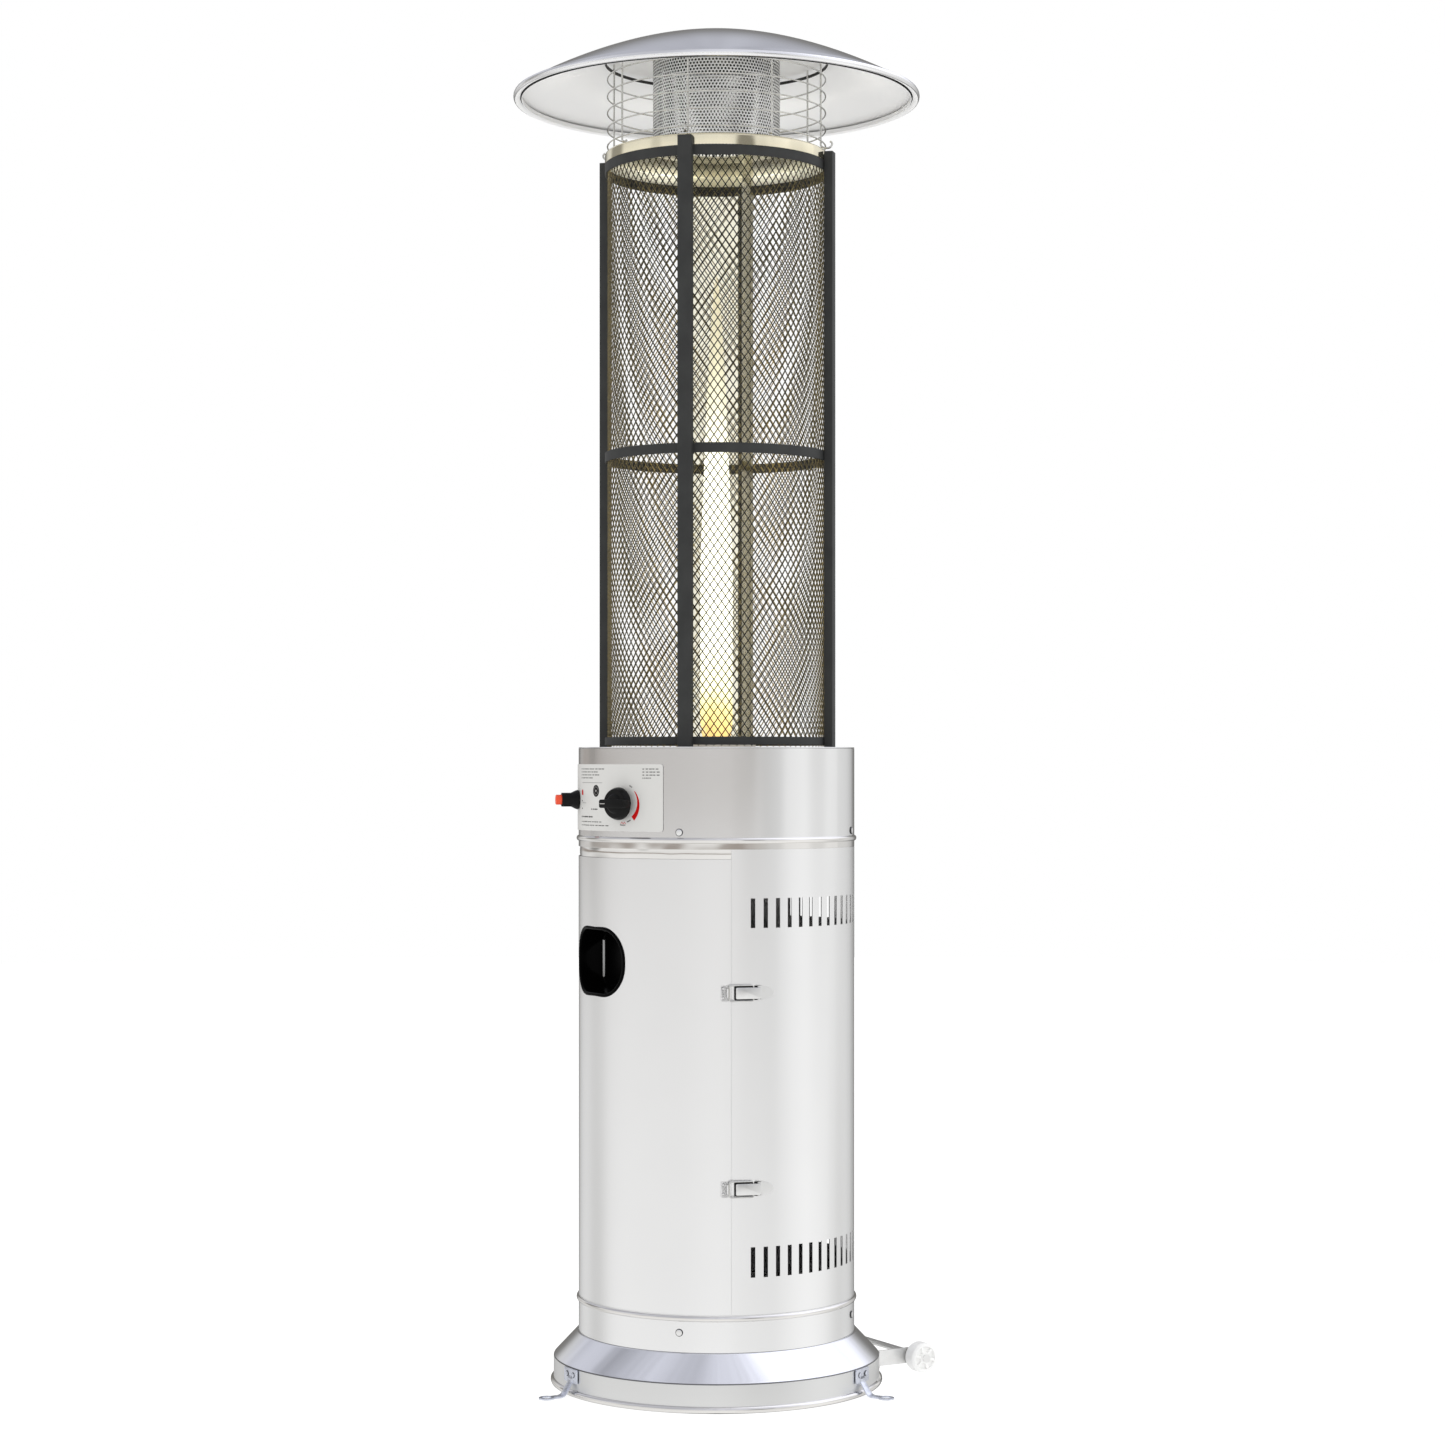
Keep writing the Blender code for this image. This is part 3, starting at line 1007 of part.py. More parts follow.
def build_latch(name, side, height):
    """A toggle latch: base on the rear shell, lever, wire bail, and keeper on the door."""
    angle = side * LATCH_ANGLE
    base_start, base_end = along_body(LATCH_BASE_START), along_body(LATCH_BASE_END)
    keeper_start, keeper_end = along_body(-KEEPER_START), along_body(-KEEPER_END)
    plate_face = (BODY_RADIUS + GAP) / facet_shrink(base_end - base_start) + LATCH_SHEET
    pivot_out = BODY_RADIUS + LATCH_PIVOT_HEIGHT
    low = height - LATCH_PLATE_HALF_HEIGHT
    high = height + LATCH_PLATE_HALF_HEIGHT

    span = sorted((side * base_start, side * base_end))
    base = freeze(arc(name + "_base", plate_face, low, high, LATCH_SHEET, *span, ZINC, 2))
    ear_along = (LATCH_PIVOT_OFFSET - LATCH_EAR_HALF_WIDTH,
                 LATCH_PIVOT_OFFSET + LATCH_EAR_HALF_WIDTH)
    ear_out = (BODY_RADIUS + LATCH_EAR_FOOT, BODY_RADIUS + LATCH_EAR_HEAD)
    inner = LEVER_HALF_HEIGHT + GAP
    for end in (-1, 1):
        ear_up = sorted((end * inner, end * (inner + LATCH_EAR_THICKNESS)))
        fuse(base, latch_box("join_%s_ear_%d" % (name, end), ear_along, ear_out, ear_up,
                             side, angle, height))
    reach = inner + LATCH_EAR_THICKNESS / 2
    pin = rod("join_%s_pin" % name, LATCH_PIN_RADIUS, -reach, reach, steps=8)
    fuse(base, face_out(pin, angle, pivot_out, side * LATCH_PIVOT_OFFSET, height))

    hole_reach = LEVER_HALF_HEIGHT + OVERRUN
    lever = latch_box(name + "_lever", (-LEVER_TIP_OFFSET, LATCH_PIVOT_OFFSET + LEVER_TAIL),
                      (-LEVER_THICKNESS / 2, LEVER_THICKNESS / 2),
                      (-LEVER_HALF_HEIGHT, LEVER_HALF_HEIGHT), side, angle, height, ZINC)
    for vert in lever.data.vertices:
        vert.co.x -= side * LATCH_PIVOT_OFFSET
    face_out(lever, angle, pivot_out, side * LATCH_PIVOT_OFFSET, height)
    for label, along in (("pin", LATCH_PIVOT_OFFSET), ("bail", BAIL_OFFSET)):
        hole = rod("cut_%s_%s" % (name, label), BAIL_WIRE_RADIUS + RUNNING, -hole_reach, hole_reach,
                   steps=12)
        cut(lever, face_out(hole, angle, pivot_out, side * along, height))

    points = [(0, BAIL_END), (0, BAIL_HALF_HEIGHT)]
    reach = BAIL_REACH + BAIL_OFFSET
    for i in range(BAIL_CORNER_STEPS + 1):
        turn = radians(90 * i / BAIL_CORNER_STEPS)
        points.append((-reach + BAIL_CORNER * (1 - sin(turn)),
                       BAIL_HALF_HEIGHT - BAIL_CORNER * (1 - cos(turn))))
    points += [(along, -up) for along, up in reversed(points)]
    route = [Vector((side * along, 0, up)) for along, up in points]
    bail = curve_path(name + "_bail", route, BAIL_WIRE_RADIUS, WIRE, sides_level=0)
    face_out(bail, angle, pivot_out, side * BAIL_OFFSET, height)

    span = sorted((side * keeper_start, side * keeper_end))
    keeper = freeze(arc(name + "_keeper", plate_face, low, high, LATCH_SHEET, *span, ZINC, 1))
    tooth = (-BAIL_REACH - KEEPER_TOOTH_WIDTH, -BAIL_REACH)
    tooth_foot = sqrt(plate_face ** 2 - tooth[0] ** 2) - LATCH_SHEET
    fuse(keeper, latch_box("join_%s_tooth" % name, tooth,
                           (tooth_foot, pivot_out - BAIL_WIRE_RADIUS - GAP),
                           (-KEEPER_TOOTH_HALF_HEIGHT, KEEPER_TOOTH_HALF_HEIGHT),
                           side, angle, height))


build_base()
build_lower_ring()
build_rear_shell()
build_handle_cup(build_door())
build_housing()
build_label()
build_valve(build_knob())
build_igniter()
build_gas_train()
build_flame_tube()
build_guard()
build_head()
for number, anchor_angle in enumerate(ANCHOR_ANGLES):
    build_anchor("anchor_foot_%d" % (number + 1), anchor_angle)
build_wheels()
for side_name, side_sign in (("left", -1), ("right", 1)):
    for level_name, level in zip(("lower", "upper"), LATCH_HEIGHTS):
        build_latch("latch_%s_%s" % (side_name, level_name), side_sign, level)
bpy.context.view_layer.update()
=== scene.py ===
"""The looks of a round tower patio heater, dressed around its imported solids.

Metres, +Z up, the tower's axis through the origin and its front towards -Y.  Angles run round
the axis from the front towards +X.
"""
from math import ceil, cos, degrees, radians, sin, sqrt, tau

import bmesh
import bpy
from mathutils import Matrix, Vector


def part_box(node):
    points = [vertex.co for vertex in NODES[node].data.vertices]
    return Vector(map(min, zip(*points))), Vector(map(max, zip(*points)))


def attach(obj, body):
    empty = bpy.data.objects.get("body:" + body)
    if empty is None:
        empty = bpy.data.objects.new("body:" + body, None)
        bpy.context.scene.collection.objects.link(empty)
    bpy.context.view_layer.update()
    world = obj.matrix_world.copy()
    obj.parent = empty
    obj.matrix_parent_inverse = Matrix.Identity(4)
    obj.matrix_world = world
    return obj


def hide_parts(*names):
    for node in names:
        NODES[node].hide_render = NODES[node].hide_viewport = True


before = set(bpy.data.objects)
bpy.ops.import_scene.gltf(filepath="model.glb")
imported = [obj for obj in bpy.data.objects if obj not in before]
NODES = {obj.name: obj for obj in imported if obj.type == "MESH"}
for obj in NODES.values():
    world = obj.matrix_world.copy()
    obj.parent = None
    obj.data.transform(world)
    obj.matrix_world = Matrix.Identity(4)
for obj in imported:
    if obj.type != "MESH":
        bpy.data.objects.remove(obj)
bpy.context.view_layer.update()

# Camera: level, a sixth of a turn round from the front
CAMERA_ANGLE = 60.0
CAMERA_REACH = 4.087
CAMERA_HEIGHT = 0.823
LENS = 75.99
SENSOR = 36.0
FRAME_SIDE = 1445
AXIS_LEFT_OF_MIDDLE = 6.0       # pixels in the frame
HORIZON_UNDER_MIDDLE = 42.5


def reach(node):
    """Outer radius of a round node on the tower's axis."""
    low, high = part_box(node)
    return (high.x - low.x) / 2


def foot_of(node):
    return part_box(node)[0].z


def head_of(node):
    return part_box(node)[1].z


# Clearances and steps
GAP = 0.0003
WELD = 0.000005
SHARP_ANGLE = 32.0
ROUND_STEPS = 192
RING_STEPS = 128
DOME_STEPS = 256
OVERRUN = 0.004
SHEET = 0.0012

# Body, from the solids
BODY_RADIUS = reach("housing_deck")
SKIRT_TOP = head_of("base_skirt")
LOWER_TOP = foot_of("door_panel") - GAP
DOOR_TOP = head_of("door_panel")
DECK_TOP = head_of("housing_deck")
DECK_BOTTOM = foot_of("housing_deck")
HOUSING_BOTTOM = head_of("rear_shell") + GAP
SPIGOT_LENGTH = 0.015
SPIGOT_RADIUS = BODY_RADIUS - SHEET - 0.0005
NECK_BOW = 0.0005
NECK_STEPS = 6
FLANGE_RADIUS = BODY_RADIUS - 0.018
BEAD_DEPTH = 0.0028
BEAD_WIDTH = 0.0075
BEAD_STEPS = 10
LOWER_BEAD_HEIGHT = LOWER_TOP - BEAD_WIDTH / 2 - 0.00075
HOUSING_BEAD_HEIGHT = HOUSING_BOTTOM + BEAD_WIDTH / 2 + 0.00725
BAND_RADIUS = BODY_RADIUS + 0.0333
BAND_TOP = head_of("anchor_foot_1")
CONE_TOP_RADIUS = BODY_RADIUS + 0.0015
CONE_STEP = 0.002
RIM_DEPTH = 0.004
RIM_HEIGHT = 0.0085
DOOR_HALF_ANGLE = 65.9
SEAM_ANGLE = 0.06
DECK_HOLE = reach("burner_cup") - 0.0070

# Slots in the rear shell
FIRST_SLOT = 74.7
SLOT_PITCH = 5.35
SLOTS_PER_SIDE = 20
SLOT_WIDTH = 0.006
SLOT_LEVELS = (LOWER_TOP + 0.048, LOWER_TOP + 0.087, DOOR_TOP - 0.088, DOOR_TOP - 0.050)
SHELL_STEP = 1.9

# Handle recess
HANDLE_WIDTH = 0.120
HANDLE_HEIGHT = 0.0845
HANDLE_CENTRE = DOOR_TOP - 0.136
HANDLE_CORNER = 0.0387
HANDLE_FLOOR = (0.046, 0.0335, 0.010)     # half width, half height, corner
HANDLE_DEPTH = 0.042
HANDLE_LIP = 0.0035
HANDLE_FOLD = 0.0022                      # round between the cup's walls and its floor
HANDLE_WALL = 0.0012

# Controls
LABEL_HALF_ANGLE = 38.3
LABEL_FOOT = foot_of("control_label")
LABEL_HEAD = head_of("control_label")
LABEL_FACE = BODY_RADIUS + 0.0013
LABEL_CORNER = 0.0035
LABEL_SHEET = 0.0005
PRINT_LIFT = 0.00012
PRINT_SHEET = 0.00010
KNOB_ANGLE = 19.5
KNOB_BACK = LABEL_FACE + 0.0036
KNOB_RADIUS = 0.0215
KNOB_DISC = 0.014
KNOB_STAND = 0.0045            # the disc stands clear of the label on its shaft
KNOB_LENGTH = 0.0205
KNOB_SHAFT = 0.0080
KNOB_GRIP_HEIGHT = 0.011
KNOB_HEIGHT = (foot_of("control_knob") + head_of("control_knob")) / 2
IGNITER_ANGLE = -19.5
IGNITER_HEIGHT = (foot_of("igniter_button") + head_of("igniter_button")) / 2
IGNITER_COLLAR = 0.0131
IGNITER_SLEEVE = 0.0092
IGNITER_LENGTH = 0.0233
BUTTON_RADIUS = 0.0066
BUTTON_PROJECTION = 0.0076
BUTTON_LENGTH = 0.0165

# Guard
HOOP_RADIUS = reach("guard_hoop_top")
HOOP_DEPTH = 0.0024
HOOP_STAND = 0.0024            # clear strip under the bottom hoop
POST_ANGLES = (45.0, 135.0, 225.0, 315.0)
POST_WIDTH = 0.0185
POST_DEPTH = 0.0115
POST_SHEET = 0.0015
POST_BEND = 0.0012
NET_RADIUS = HOOP_RADIUS - HOOP_DEPTH - 0.0015
NET_STRAND = 0.0013
NET_SHEET = 0.0007
NET_COLUMNS = 92
NET_ROWS = 54

# Flame tube and flame
GLASS_RADIUS = reach("glass_tube")
GLASS_WALL = 0.0025
FLAME_RADIUS = 0.0215
FLAME_FOOT = DECK_TOP + 0.002
FLAME_TIP = 1.480
FLAME_STEPS = 40
FLAME_ROOT_LENGTH = 0.092

# Head
COLLAR_EDGE_RADIUS = reach("top_collar")
COLLAR_TOP = head_of("top_collar")
COLLAR_FOOT = foot_of("top_collar")
COLLAR_EDGE_HEIGHT = COLLAR_FOOT + 0.0132
COLLAR_SHOULDER_RADIUS = COLLAR_EDGE_RADIUS - 0.0025
COLLAR_SHOULDER_HEIGHT = COLLAR_EDGE_HEIGHT + 0.002
COLLAR_SEAT_RADIUS = 0.092
COLLAR_SHEET = 0.0013
EMITTER_RADIUS = reach("emitter")
EMITTER_TOP = head_of("emitter")
EMITTER_SHOULDER = EMITTER_TOP - 0.003
EMITTER_PITCH = 0.0047
EMITTER_HOLE = 0.00145
EMITTER_SHEET = 0.0006
EMITTER_HEM = 0.0008           # its hems and crown are thicker
CAGE_RADIUS = COLLAR_SHOULDER_RADIUS - 0.001
CAGE_WIRE = 0.0013
CAGE_RING_SHARE = 0.75         # a ring is thinner than an upright
CAGE_RINGS = 5
CAGE_FIRST_RING = COLLAR_SHOULDER_HEIGHT + 0.0095
CAGE_PITCH = 0.0225
CAGE_POSTS = 8
CAGE_HOOP_BAND = 0.0038
CAGE_HOOP_DEPTH = 0.0022
REFLECTOR_RADIUS = reach("reflector")
DOME_RADIUS = REFLECTOR_RADIUS - 0.0076
REFLECTOR_TOP = head_of("reflector")
REFLECTOR_FOOT = foot_of("reflector")
DOME_RISE = 0.0790
DOME_POWER = 1.80
DOME_RINGS = 40
DOME_HEM = 0.0006

# Anchor feet and wheels
ANCHOR_ANGLES = (0.0, 120.0, 240.0)
ANCHOR_PLATE_WIDTH = 0.035
ANCHOR_PLATE_BOTTOM = BAND_TOP - 0.0185
ANCHOR_SHEET = 0.0022
ANCHOR_STRAP = 0.013
ANCHOR_TOE = BAND_RADIUS + 0.0132
ANCHOR_EYE_PLACE = ANCHOR_TOE + 0.0235
ANCHOR_BORE = 0.0062
ANCHOR_EYE = 0.0105
ANCHOR_SCREW_STEP = 0.0085
WHEEL_RADIUS = 0.020
WHEEL_WIDTH = 0.022
WHEEL_HUB_WIDTH = 0.025
WHEEL_CENTRE = 0.100
WHEEL_SPOKES = 6
AXLE_PLACE = BAND_RADIUS + 0.0442
AXLE_HEIGHT = 0.0215
AXLE_BORE = 0.0035

# Latches
LATCH_ANGLE = 73.0
LATCH_HEIGHTS = {"lower": LOWER_TOP + 0.162, "upper": DOOR_TOP - 0.171}
LATCH_HALF_HEIGHT = 0.0095
LATCH_SHEET = 0.0012
# The latch bed is a dark sheet of painted shade that shows round the lever
LATCH_BED = 0.0305              # dark bed under the lever
LATCH_BED_END = 0.0112
LATCH_BED_SHEET = 0.0003
PIVOT_ALONG = 0.0125
PIVOT_OUT = 0.0049
LEVER_HALF_HEIGHT = 0.0074
LEVER_HEEL = 0.0145
LEVER_TIP = -0.0184
BAIL_ALONG = 0.005
BAIL_REACH = 0.027
BAIL_HALF_HEIGHT = 0.0101
BAIL_WIRE = 0.001
KEEPER_SPAN = (-0.0367, -0.0245)
RIVET_ALONG = -0.0335

# Screws, as (radius, rise) where a head is meant
PAN_HEAD = (0.005, 0.0022)
SMALL_HEAD = (0.0038, 0.0019)
RIVET_HEAD = (0.0016, 0.0008)
SCREW_ANGLES = (45.0, 135.0, 225.0, 315.0)
SCREW_TURNS = (20, -35, 10, 50)
HOUSING_SCREW_HEIGHT = 0.7365
LOWER_SCREW_HEIGHT = 0.0955


# Shapes

def polar(radius, angle, height=0.0):
    return Vector((radius * sin(radians(angle)), -radius * cos(radians(angle)), height))


def spin(angle, axis='Z'):
    return Matrix.Rotation(radians(angle), 4, axis)


def shift(x, y, z):
    return Matrix.Translation((x, y, z))


def turned(line, steps=ROUND_STEPS, start=0.0, sweep=360.0, closed=False):
    """A line of (radius, height) points turned about the axis.

    Its faces look outwards where the line runs down the outer side.
    """
    shape = bmesh.new()
    whole = sweep >= 360.0
    columns = steps if whole else steps + 1
    rows = [[shape.verts.new(polar(r, start + sweep * i / steps, z)) for r, z in line]
            for i in range(columns)]
    pairs = [(j, j + 1) for j in range(len(line) - 1)]
    if closed:
        pairs.append((len(line) - 1, 0))
    for i in range(steps):
        here, there = rows[i], rows[(i + 1) % columns]
        for a, b in pairs:
            shape.faces.new((here[a], here[b], there[b], there[a]))
    bmesh.ops.remove_doubles(shape, verts=shape.verts, dist=WELD)
    return shape


def eased(points, radius, steps=4, closed=False):
    """The same line with its corners rounded."""
    corners = [Vector(point) for point in points]
    line = []
    for i, here in enumerate(corners):
        if not closed and i in (0, len(corners) - 1):
            line.append(here)
            continue
        back = corners[i - 1] - here
        ahead = corners[(i + 1) % len(corners)] - here
        inset = min(radius, back.length * 0.45, ahead.length * 0.45)
        first = here + back.normalized() * inset
        final = here + ahead.normalized() * inset
        for t in (k / steps for k in range(steps + 1)):
            line.append(first * (1 - t) ** 2 + here * (2 * t * (1 - t)) + final * t ** 2)
    return line


def band(outer, inner, low, high, soft=0.0, steps=ROUND_STEPS):
    """A ring of rectangular section, its edges eased."""
    line = [(outer, high), (outer, low), (inner, low), (inner, high)]
    return turned(eased(line, soft, closed=True) if soft else line, steps, closed=True)


def rounded(half_width, half_height, corner, steps=6):
    """Outline of a rectangle with round corners."""
    points = []
    for quarter, (x, y) in enumerate(((1, 1), (-1, 1), (-1, -1), (1, -1))):
        for i in range(steps + 1):
            turn = radians(90 * (quarter + i / steps))
            points.append((x * (half_width - corner) + corner * cos(turn),
                           y * (half_height - corner) + corner * sin(turn)))
    return points


def circle(radius, steps=32, x=0.0, y=0.0, start=0.0):
    turns = [radians(start + 360 * i / steps) for i in range(steps)]
    return [(x + radius * cos(turn), y + radius * sin(turn)) for turn in turns]


def flat(outlines, step=0.004):
    """Flat outlines as faces, cut into upright strips so that they can be bent."""
    shape = bmesh.new()
    for outline in outlines:
        shape.faces.new([shape.verts.new((x, y, 0)) for x, y in outline])
    places = [vert.co.x for vert in shape.verts]
    low, high = min(places), max(places)
    count = ceil((high - low) / step)
    for i in range(1, count):
        everything = shape.verts[:] + shape.edges[:] + shape.faces[:]
        bmesh.ops.bisect_plane(shape, geom=everything, dist=WELD, plane_no=(1, 0, 0),
                               plane_co=(low + (high - low) * i / count, 0, 0))
    return shape


def wrap(shape, radius, angle=0.0):
    """Bends a flat shape round the axis: X along the skin, Y up and Z outwards."""
    for vert in shape.verts:
        x, y, z = vert.co
        vert.co = polar(radius + z, angle + degrees(x / radius), y)
    return shape


def moved(shape, matrix):
    bmesh.ops.transform(shape, verts=shape.verts, matrix=matrix)
    return shape


def aimed(shape, radius, angle, height):
    """Stands a shape's Z axis along a radius, with its Y axis up."""
    turn = spin(angle) @ spin(90, 'X')
    return moved(shape, shift(*polar(radius, angle, height)) @ turn)


def strips(shape, rows):
    """Faces between rows of vertices that each run once round."""
    for here, there in zip(rows, rows[1:]):
        for i in range(len(here)):
            j = (i + 1) % len(here)
            shape.faces.new((here[i], here[j], there[j], there[i]))


def prism(outline, low, high):
    """A closed outline in XY run along Z."""
    shape = bmesh.new()
    rows = [[shape.verts.new((x, y, z)) for x, y in outline] for z in (low, high)]
    shape.faces.new(rows[0][::-1])
    shape.faces.new(rows[1])
    strips(shape, rows)
    return shape


def block(low, high):
    """A box between two corners."""
    (x0, y0, z0), (x1, y1, z1) = low, high
    return prism([(x0, y0), (x1, y0), (x1, y1), (x0, y1)], z0, z1)


def as_mesh(name, shape):
    """A mesh made from a shape, which is used up."""
    mesh = bpy.data.meshes.new(name)
    shape.to_mesh(mesh)
    shape.free()
    return mesh


def linked(name, data):
    obj = bpy.data.objects.new(name, data)
    bpy.context.scene.collection.objects.link(obj)
    return obj


def joined(*shapes):
    """Several shapes in one."""
    whole = bmesh.new()
    for shape in shapes:
        mesh = as_mesh("part", shape)
        whole.from_mesh(mesh)
        bpy.data.meshes.remove(mesh)
    return whole


def lattice(cells, strand):
    """A sheet of open cells, each face drawn in by half a strand and taken out."""
    shape = bmesh.new()
    corners = {}
    for cell in cells:
        loop = []
        for x, y in cell:
            key = (round(x * 1e6), round(y * 1e6))
            if key not in corners:
                corners[key] = shape.verts.new((x, y, 0))
            loop.append(corners[key])
        shape.faces.new(loop)
    shape.normal_update()
    holes = shape.faces[:]
    bmesh.ops.inset_individual(shape, faces=holes, thickness=strand / 2, use_even_offset=True)
    bmesh.ops.delete(shape, geom=holes, context='FACES_ONLY')
    return shape


# Pieces

def wall(thickness, offset=-1.0, **more):
    return ('SOLIDIFY', dict(thickness=thickness, offset=offset, use_even_offset=True, **more))


def edges(width, segments=3):
    return ('BEVEL', dict(width=width, segments=segments, limit_method='ANGLE',
                          angle_limit=radians(35), harden_normals=False))


def cutting(shape):
    """A step that takes a shape out of a piece."""
    bmesh.ops.recalc_face_normals(shape, faces=shape.faces)
    tool = linked("cutter", as_mesh("cutter", shape))
    return ('BOOLEAN', dict(operation='DIFFERENCE', solver='EXACT', object=tool))


def worked(obj, steps):
    """Works modifiers into an object's mesh and removes their helpers."""
    for kind, settings in steps:
        step = obj.modifiers.new(kind.title(), kind)
        for key, value in settings.items():
            setattr(step, key, value)
    bpy.context.view_layer.update()
    ready = obj.evaluated_get(bpy.context.evaluated_depsgraph_get())
    mesh = bpy.data.meshes.new_from_object(ready)
    obj.modifiers.clear()
    obj.data = mesh
    for kind, settings in steps:
        if kind == 'BOOLEAN':
            bpy.data.objects.remove(settings["object"])


def dressed(obj, node=None, body="root"):
    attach(obj, body)
    if node:
        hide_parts(node)
    return obj


def piece(name, shape, finish, node=None, steps=(), body="root", sharp=SHARP_ANGLE):
    """One dressed piece on its body, standing for its CAD node."""
    bmesh.ops.remove_doubles(shape, verts=shape.verts, dist=WELD)
    obj = linked(name, as_mesh(name, shape))
    for material in finish if isinstance(finish, tuple) else (finish,):
        obj.data.materials.append(material)
    if steps:
        worked(obj, steps)
    obj.data.name = name
    obj.data.shade_smooth()
    obj.data.set_sharp_from_angle(angle=radians(sharp))
    return dressed(obj, node, body)


def wires(name, lines, radius, node, body="root", ring_share=1.0):
    """Round wire along lines of points; a line that ends where it starts is a ring."""
    curve = bpy.data.curves.new(name, 'CURVE')
    curve.dimensions = '3D'
    curve.bevel_depth = radius
    curve.bevel_resolution = 4
    curve.use_fill_caps = True
    for points in lines:
        ring = (Vector(points[0]) - Vector(points[-1])).length < WELD
        held = points[:-1] if ring else points
        spline = curve.splines.new('POLY')
        spline.points.add(len(held) - 1)
        for place, point in zip(spline.points, held):
            place.co = (*point, 1.0)
            place.radius = ring_share if ring else 1.0
        spline.use_cyclic_u = ring
        spline.use_smooth = True
    curve.materials.append(WIRE)
    dressed(linked(name, curve), node, body)


def paint(obj, finish, test):
    """Gives the faces that pass a test another of the piece's materials."""
    number = obj.data.materials.find(finish.name)
    for face in obj.data.polygons:
        if test(face):
            face.material_index = number


def outwards(face):
    """How far a face looks away from the axis: 1 straight out, -1 straight in."""
    return face.normal.xy.dot(face.center.xy) / face.center.xy.length


# Materials

class Tree:
    """Short calls for the nodes of one material or world."""

    def __init__(self, owner):
        owner.use_nodes = True
        self.tree = owner.node_tree
        self.tree.nodes.clear()

    def node(self, kind, inputs=(), **settings):
        made = self.tree.nodes.new('ShaderNode' + kind)
        for key, value in settings.items():
            setattr(made, key, value)
        for key, value in dict(inputs).items():
            if isinstance(value, bpy.types.NodeSocket):
                self.tree.links.new(value, made.inputs[key])
            else:
                made.inputs[key].default_value = value
        return made

    def first(self, kind, inputs=(), **settings):
        """A new node's first output."""
        return self.node(kind, inputs, **settings).outputs[0]

    def sum(self, operation, first, second=0.0, clamp=False):
        return self.first('Math', {0: first, 1: second}, operation=operation, use_clamp=clamp)

    def spread(self, value, low, high, to_low=0.0, to_high=1.0, smooth=True):
        """A value from one range laid over another."""
        return self.first('MapRange', {0: value, 1: low, 2: high, 3: to_low, 4: to_high},
                          interpolation_type='SMOOTHSTEP' if smooth else 'LINEAR')

    def blend(self, share, first, second, kind='MIX'):
        made = self.node('Mix', {0: share, 6: first, 7: second}, data_type='RGBA', blend_type=kind)
        return made.outputs[2]

    def ramp(self, value, stops):
        made = self.node('ValToRGB', {0: value})
        held = made.color_ramp.elements
        while len(held) < len(stops):
            held.new(1.0)
        for element, (place, colour) in zip(held, stops):
            element.position = place
            element.color = (*colour[:3], 1.0)
        return made.outputs[0]

    def spot(self):
        return self.node('TexCoord').outputs['Object']

    def place(self, stretch=(1.0, 1.0, 1.0)):
        return self.first('VectorMath', {0: self.spot(), 1: stretch}, operation='MULTIPLY')

    def turn(self, x, y):
        """Angle round the tower, from the front."""
        return self.sum('ARCTAN2', x, self.sum('MULTIPLY', y, -1.0))

    def around(self, stretch):
        """Angle round the tower, radius and height, each stretched."""
        x, y, z = self.node('SeparateXYZ', {0: self.spot()}).outputs
        level = self.first('CombineXYZ', {0: x, 1: y})
        out = self.node('VectorMath', {0: level}, operation='LENGTH').outputs['Value']
        bent = self.first('CombineXYZ', {0: self.turn(x, y), 1: out, 2: z})
        return self.first('VectorMath', {0: bent, 1: stretch}, operation='MULTIPLY')

    def noise(self, place, scale, detail):
        return self.first('TexNoise', {'Vector': place, 'Scale': scale, 'Detail': detail})

    def mix(self, share, one, other):
        """Two shaders mixed, and shown."""
        self.show(self.first('MixShader', {0: share, 1: one, 2: other}))

    def show(self, shader, kind='Material'):
        self.node('Output' + kind, {'Surface': shader})


def grey(level):
    return (level, level, level, 1.0)


BRUSH_STRETCH = (0.6, 40.0, 60.0)      # marks that run round the tower
BRUSH_SCALE = 26.0


def surface(name, colour, roughness, mottle=0.04, patches=9.0, metallic=0.0, specular=0.5,
            brush=False, grain=900.0, grain_share=0.06, bump=0.05, bump_depth=0.0001,
            dent=0.0, dent_scale=20.0, **sockets):
    """A Principled finish whose colour, roughness and surface vary a little.

    mottle and patches are the strength and scale of its broad spots, grain the scale of its fine
    marks, which also change the roughness; dent waves the surface.
    """
    material = bpy.data.materials.new(name)
    tree = Tree(material)
    place = tree.around(BRUSH_STRETCH) if brush else tree.place()
    fine = tree.noise(place, BRUSH_SCALE if brush else grain, 2.0)
    broad = tree.noise(tree.place(), patches, 3.0)
    darker, lighter = ((*(min(1.0, c * share) for c in colour), 1.0)
                       for share in (1.0 - mottle, 1.0 + mottle))
    tone = tree.blend(tree.spread(broad, 0.3, 0.7), darker, lighter)
    rough = tree.spread(fine, 0.25, 0.75, roughness - grain_share / 2, roughness + grain_share / 2,
                        smooth=False)
    normal = tree.first('Bump', {'Strength': bump, 'Distance': bump_depth, 'Height': fine})
    if dent:
        waves = tree.noise(tree.place(), dent_scale, 1.0)
        normal = tree.first('Bump', {'Strength': 1.0, 'Distance': dent, 'Height': waves,
                                     'Normal': normal})
    tree.show(tree.first('BsdfPrincipled', {
        'Base Color': tone, 'Roughness': rough, 'Metallic': metallic, 'Normal': normal,
        'Specular IOR Level': specular, **sockets}))
    return material


def metal(name, colour, roughness, mottle, patches=9.0, **more):
    return surface(name, colour, roughness, mottle, patches, 1.0, **more)


def brushed(name, colour, roughness, mottle=0.01, grain_share=0.02, bump=0.01, **more):
    return metal(name, colour, roughness, mottle, brush=True, grain_share=grain_share, bump=bump,
                 **more)


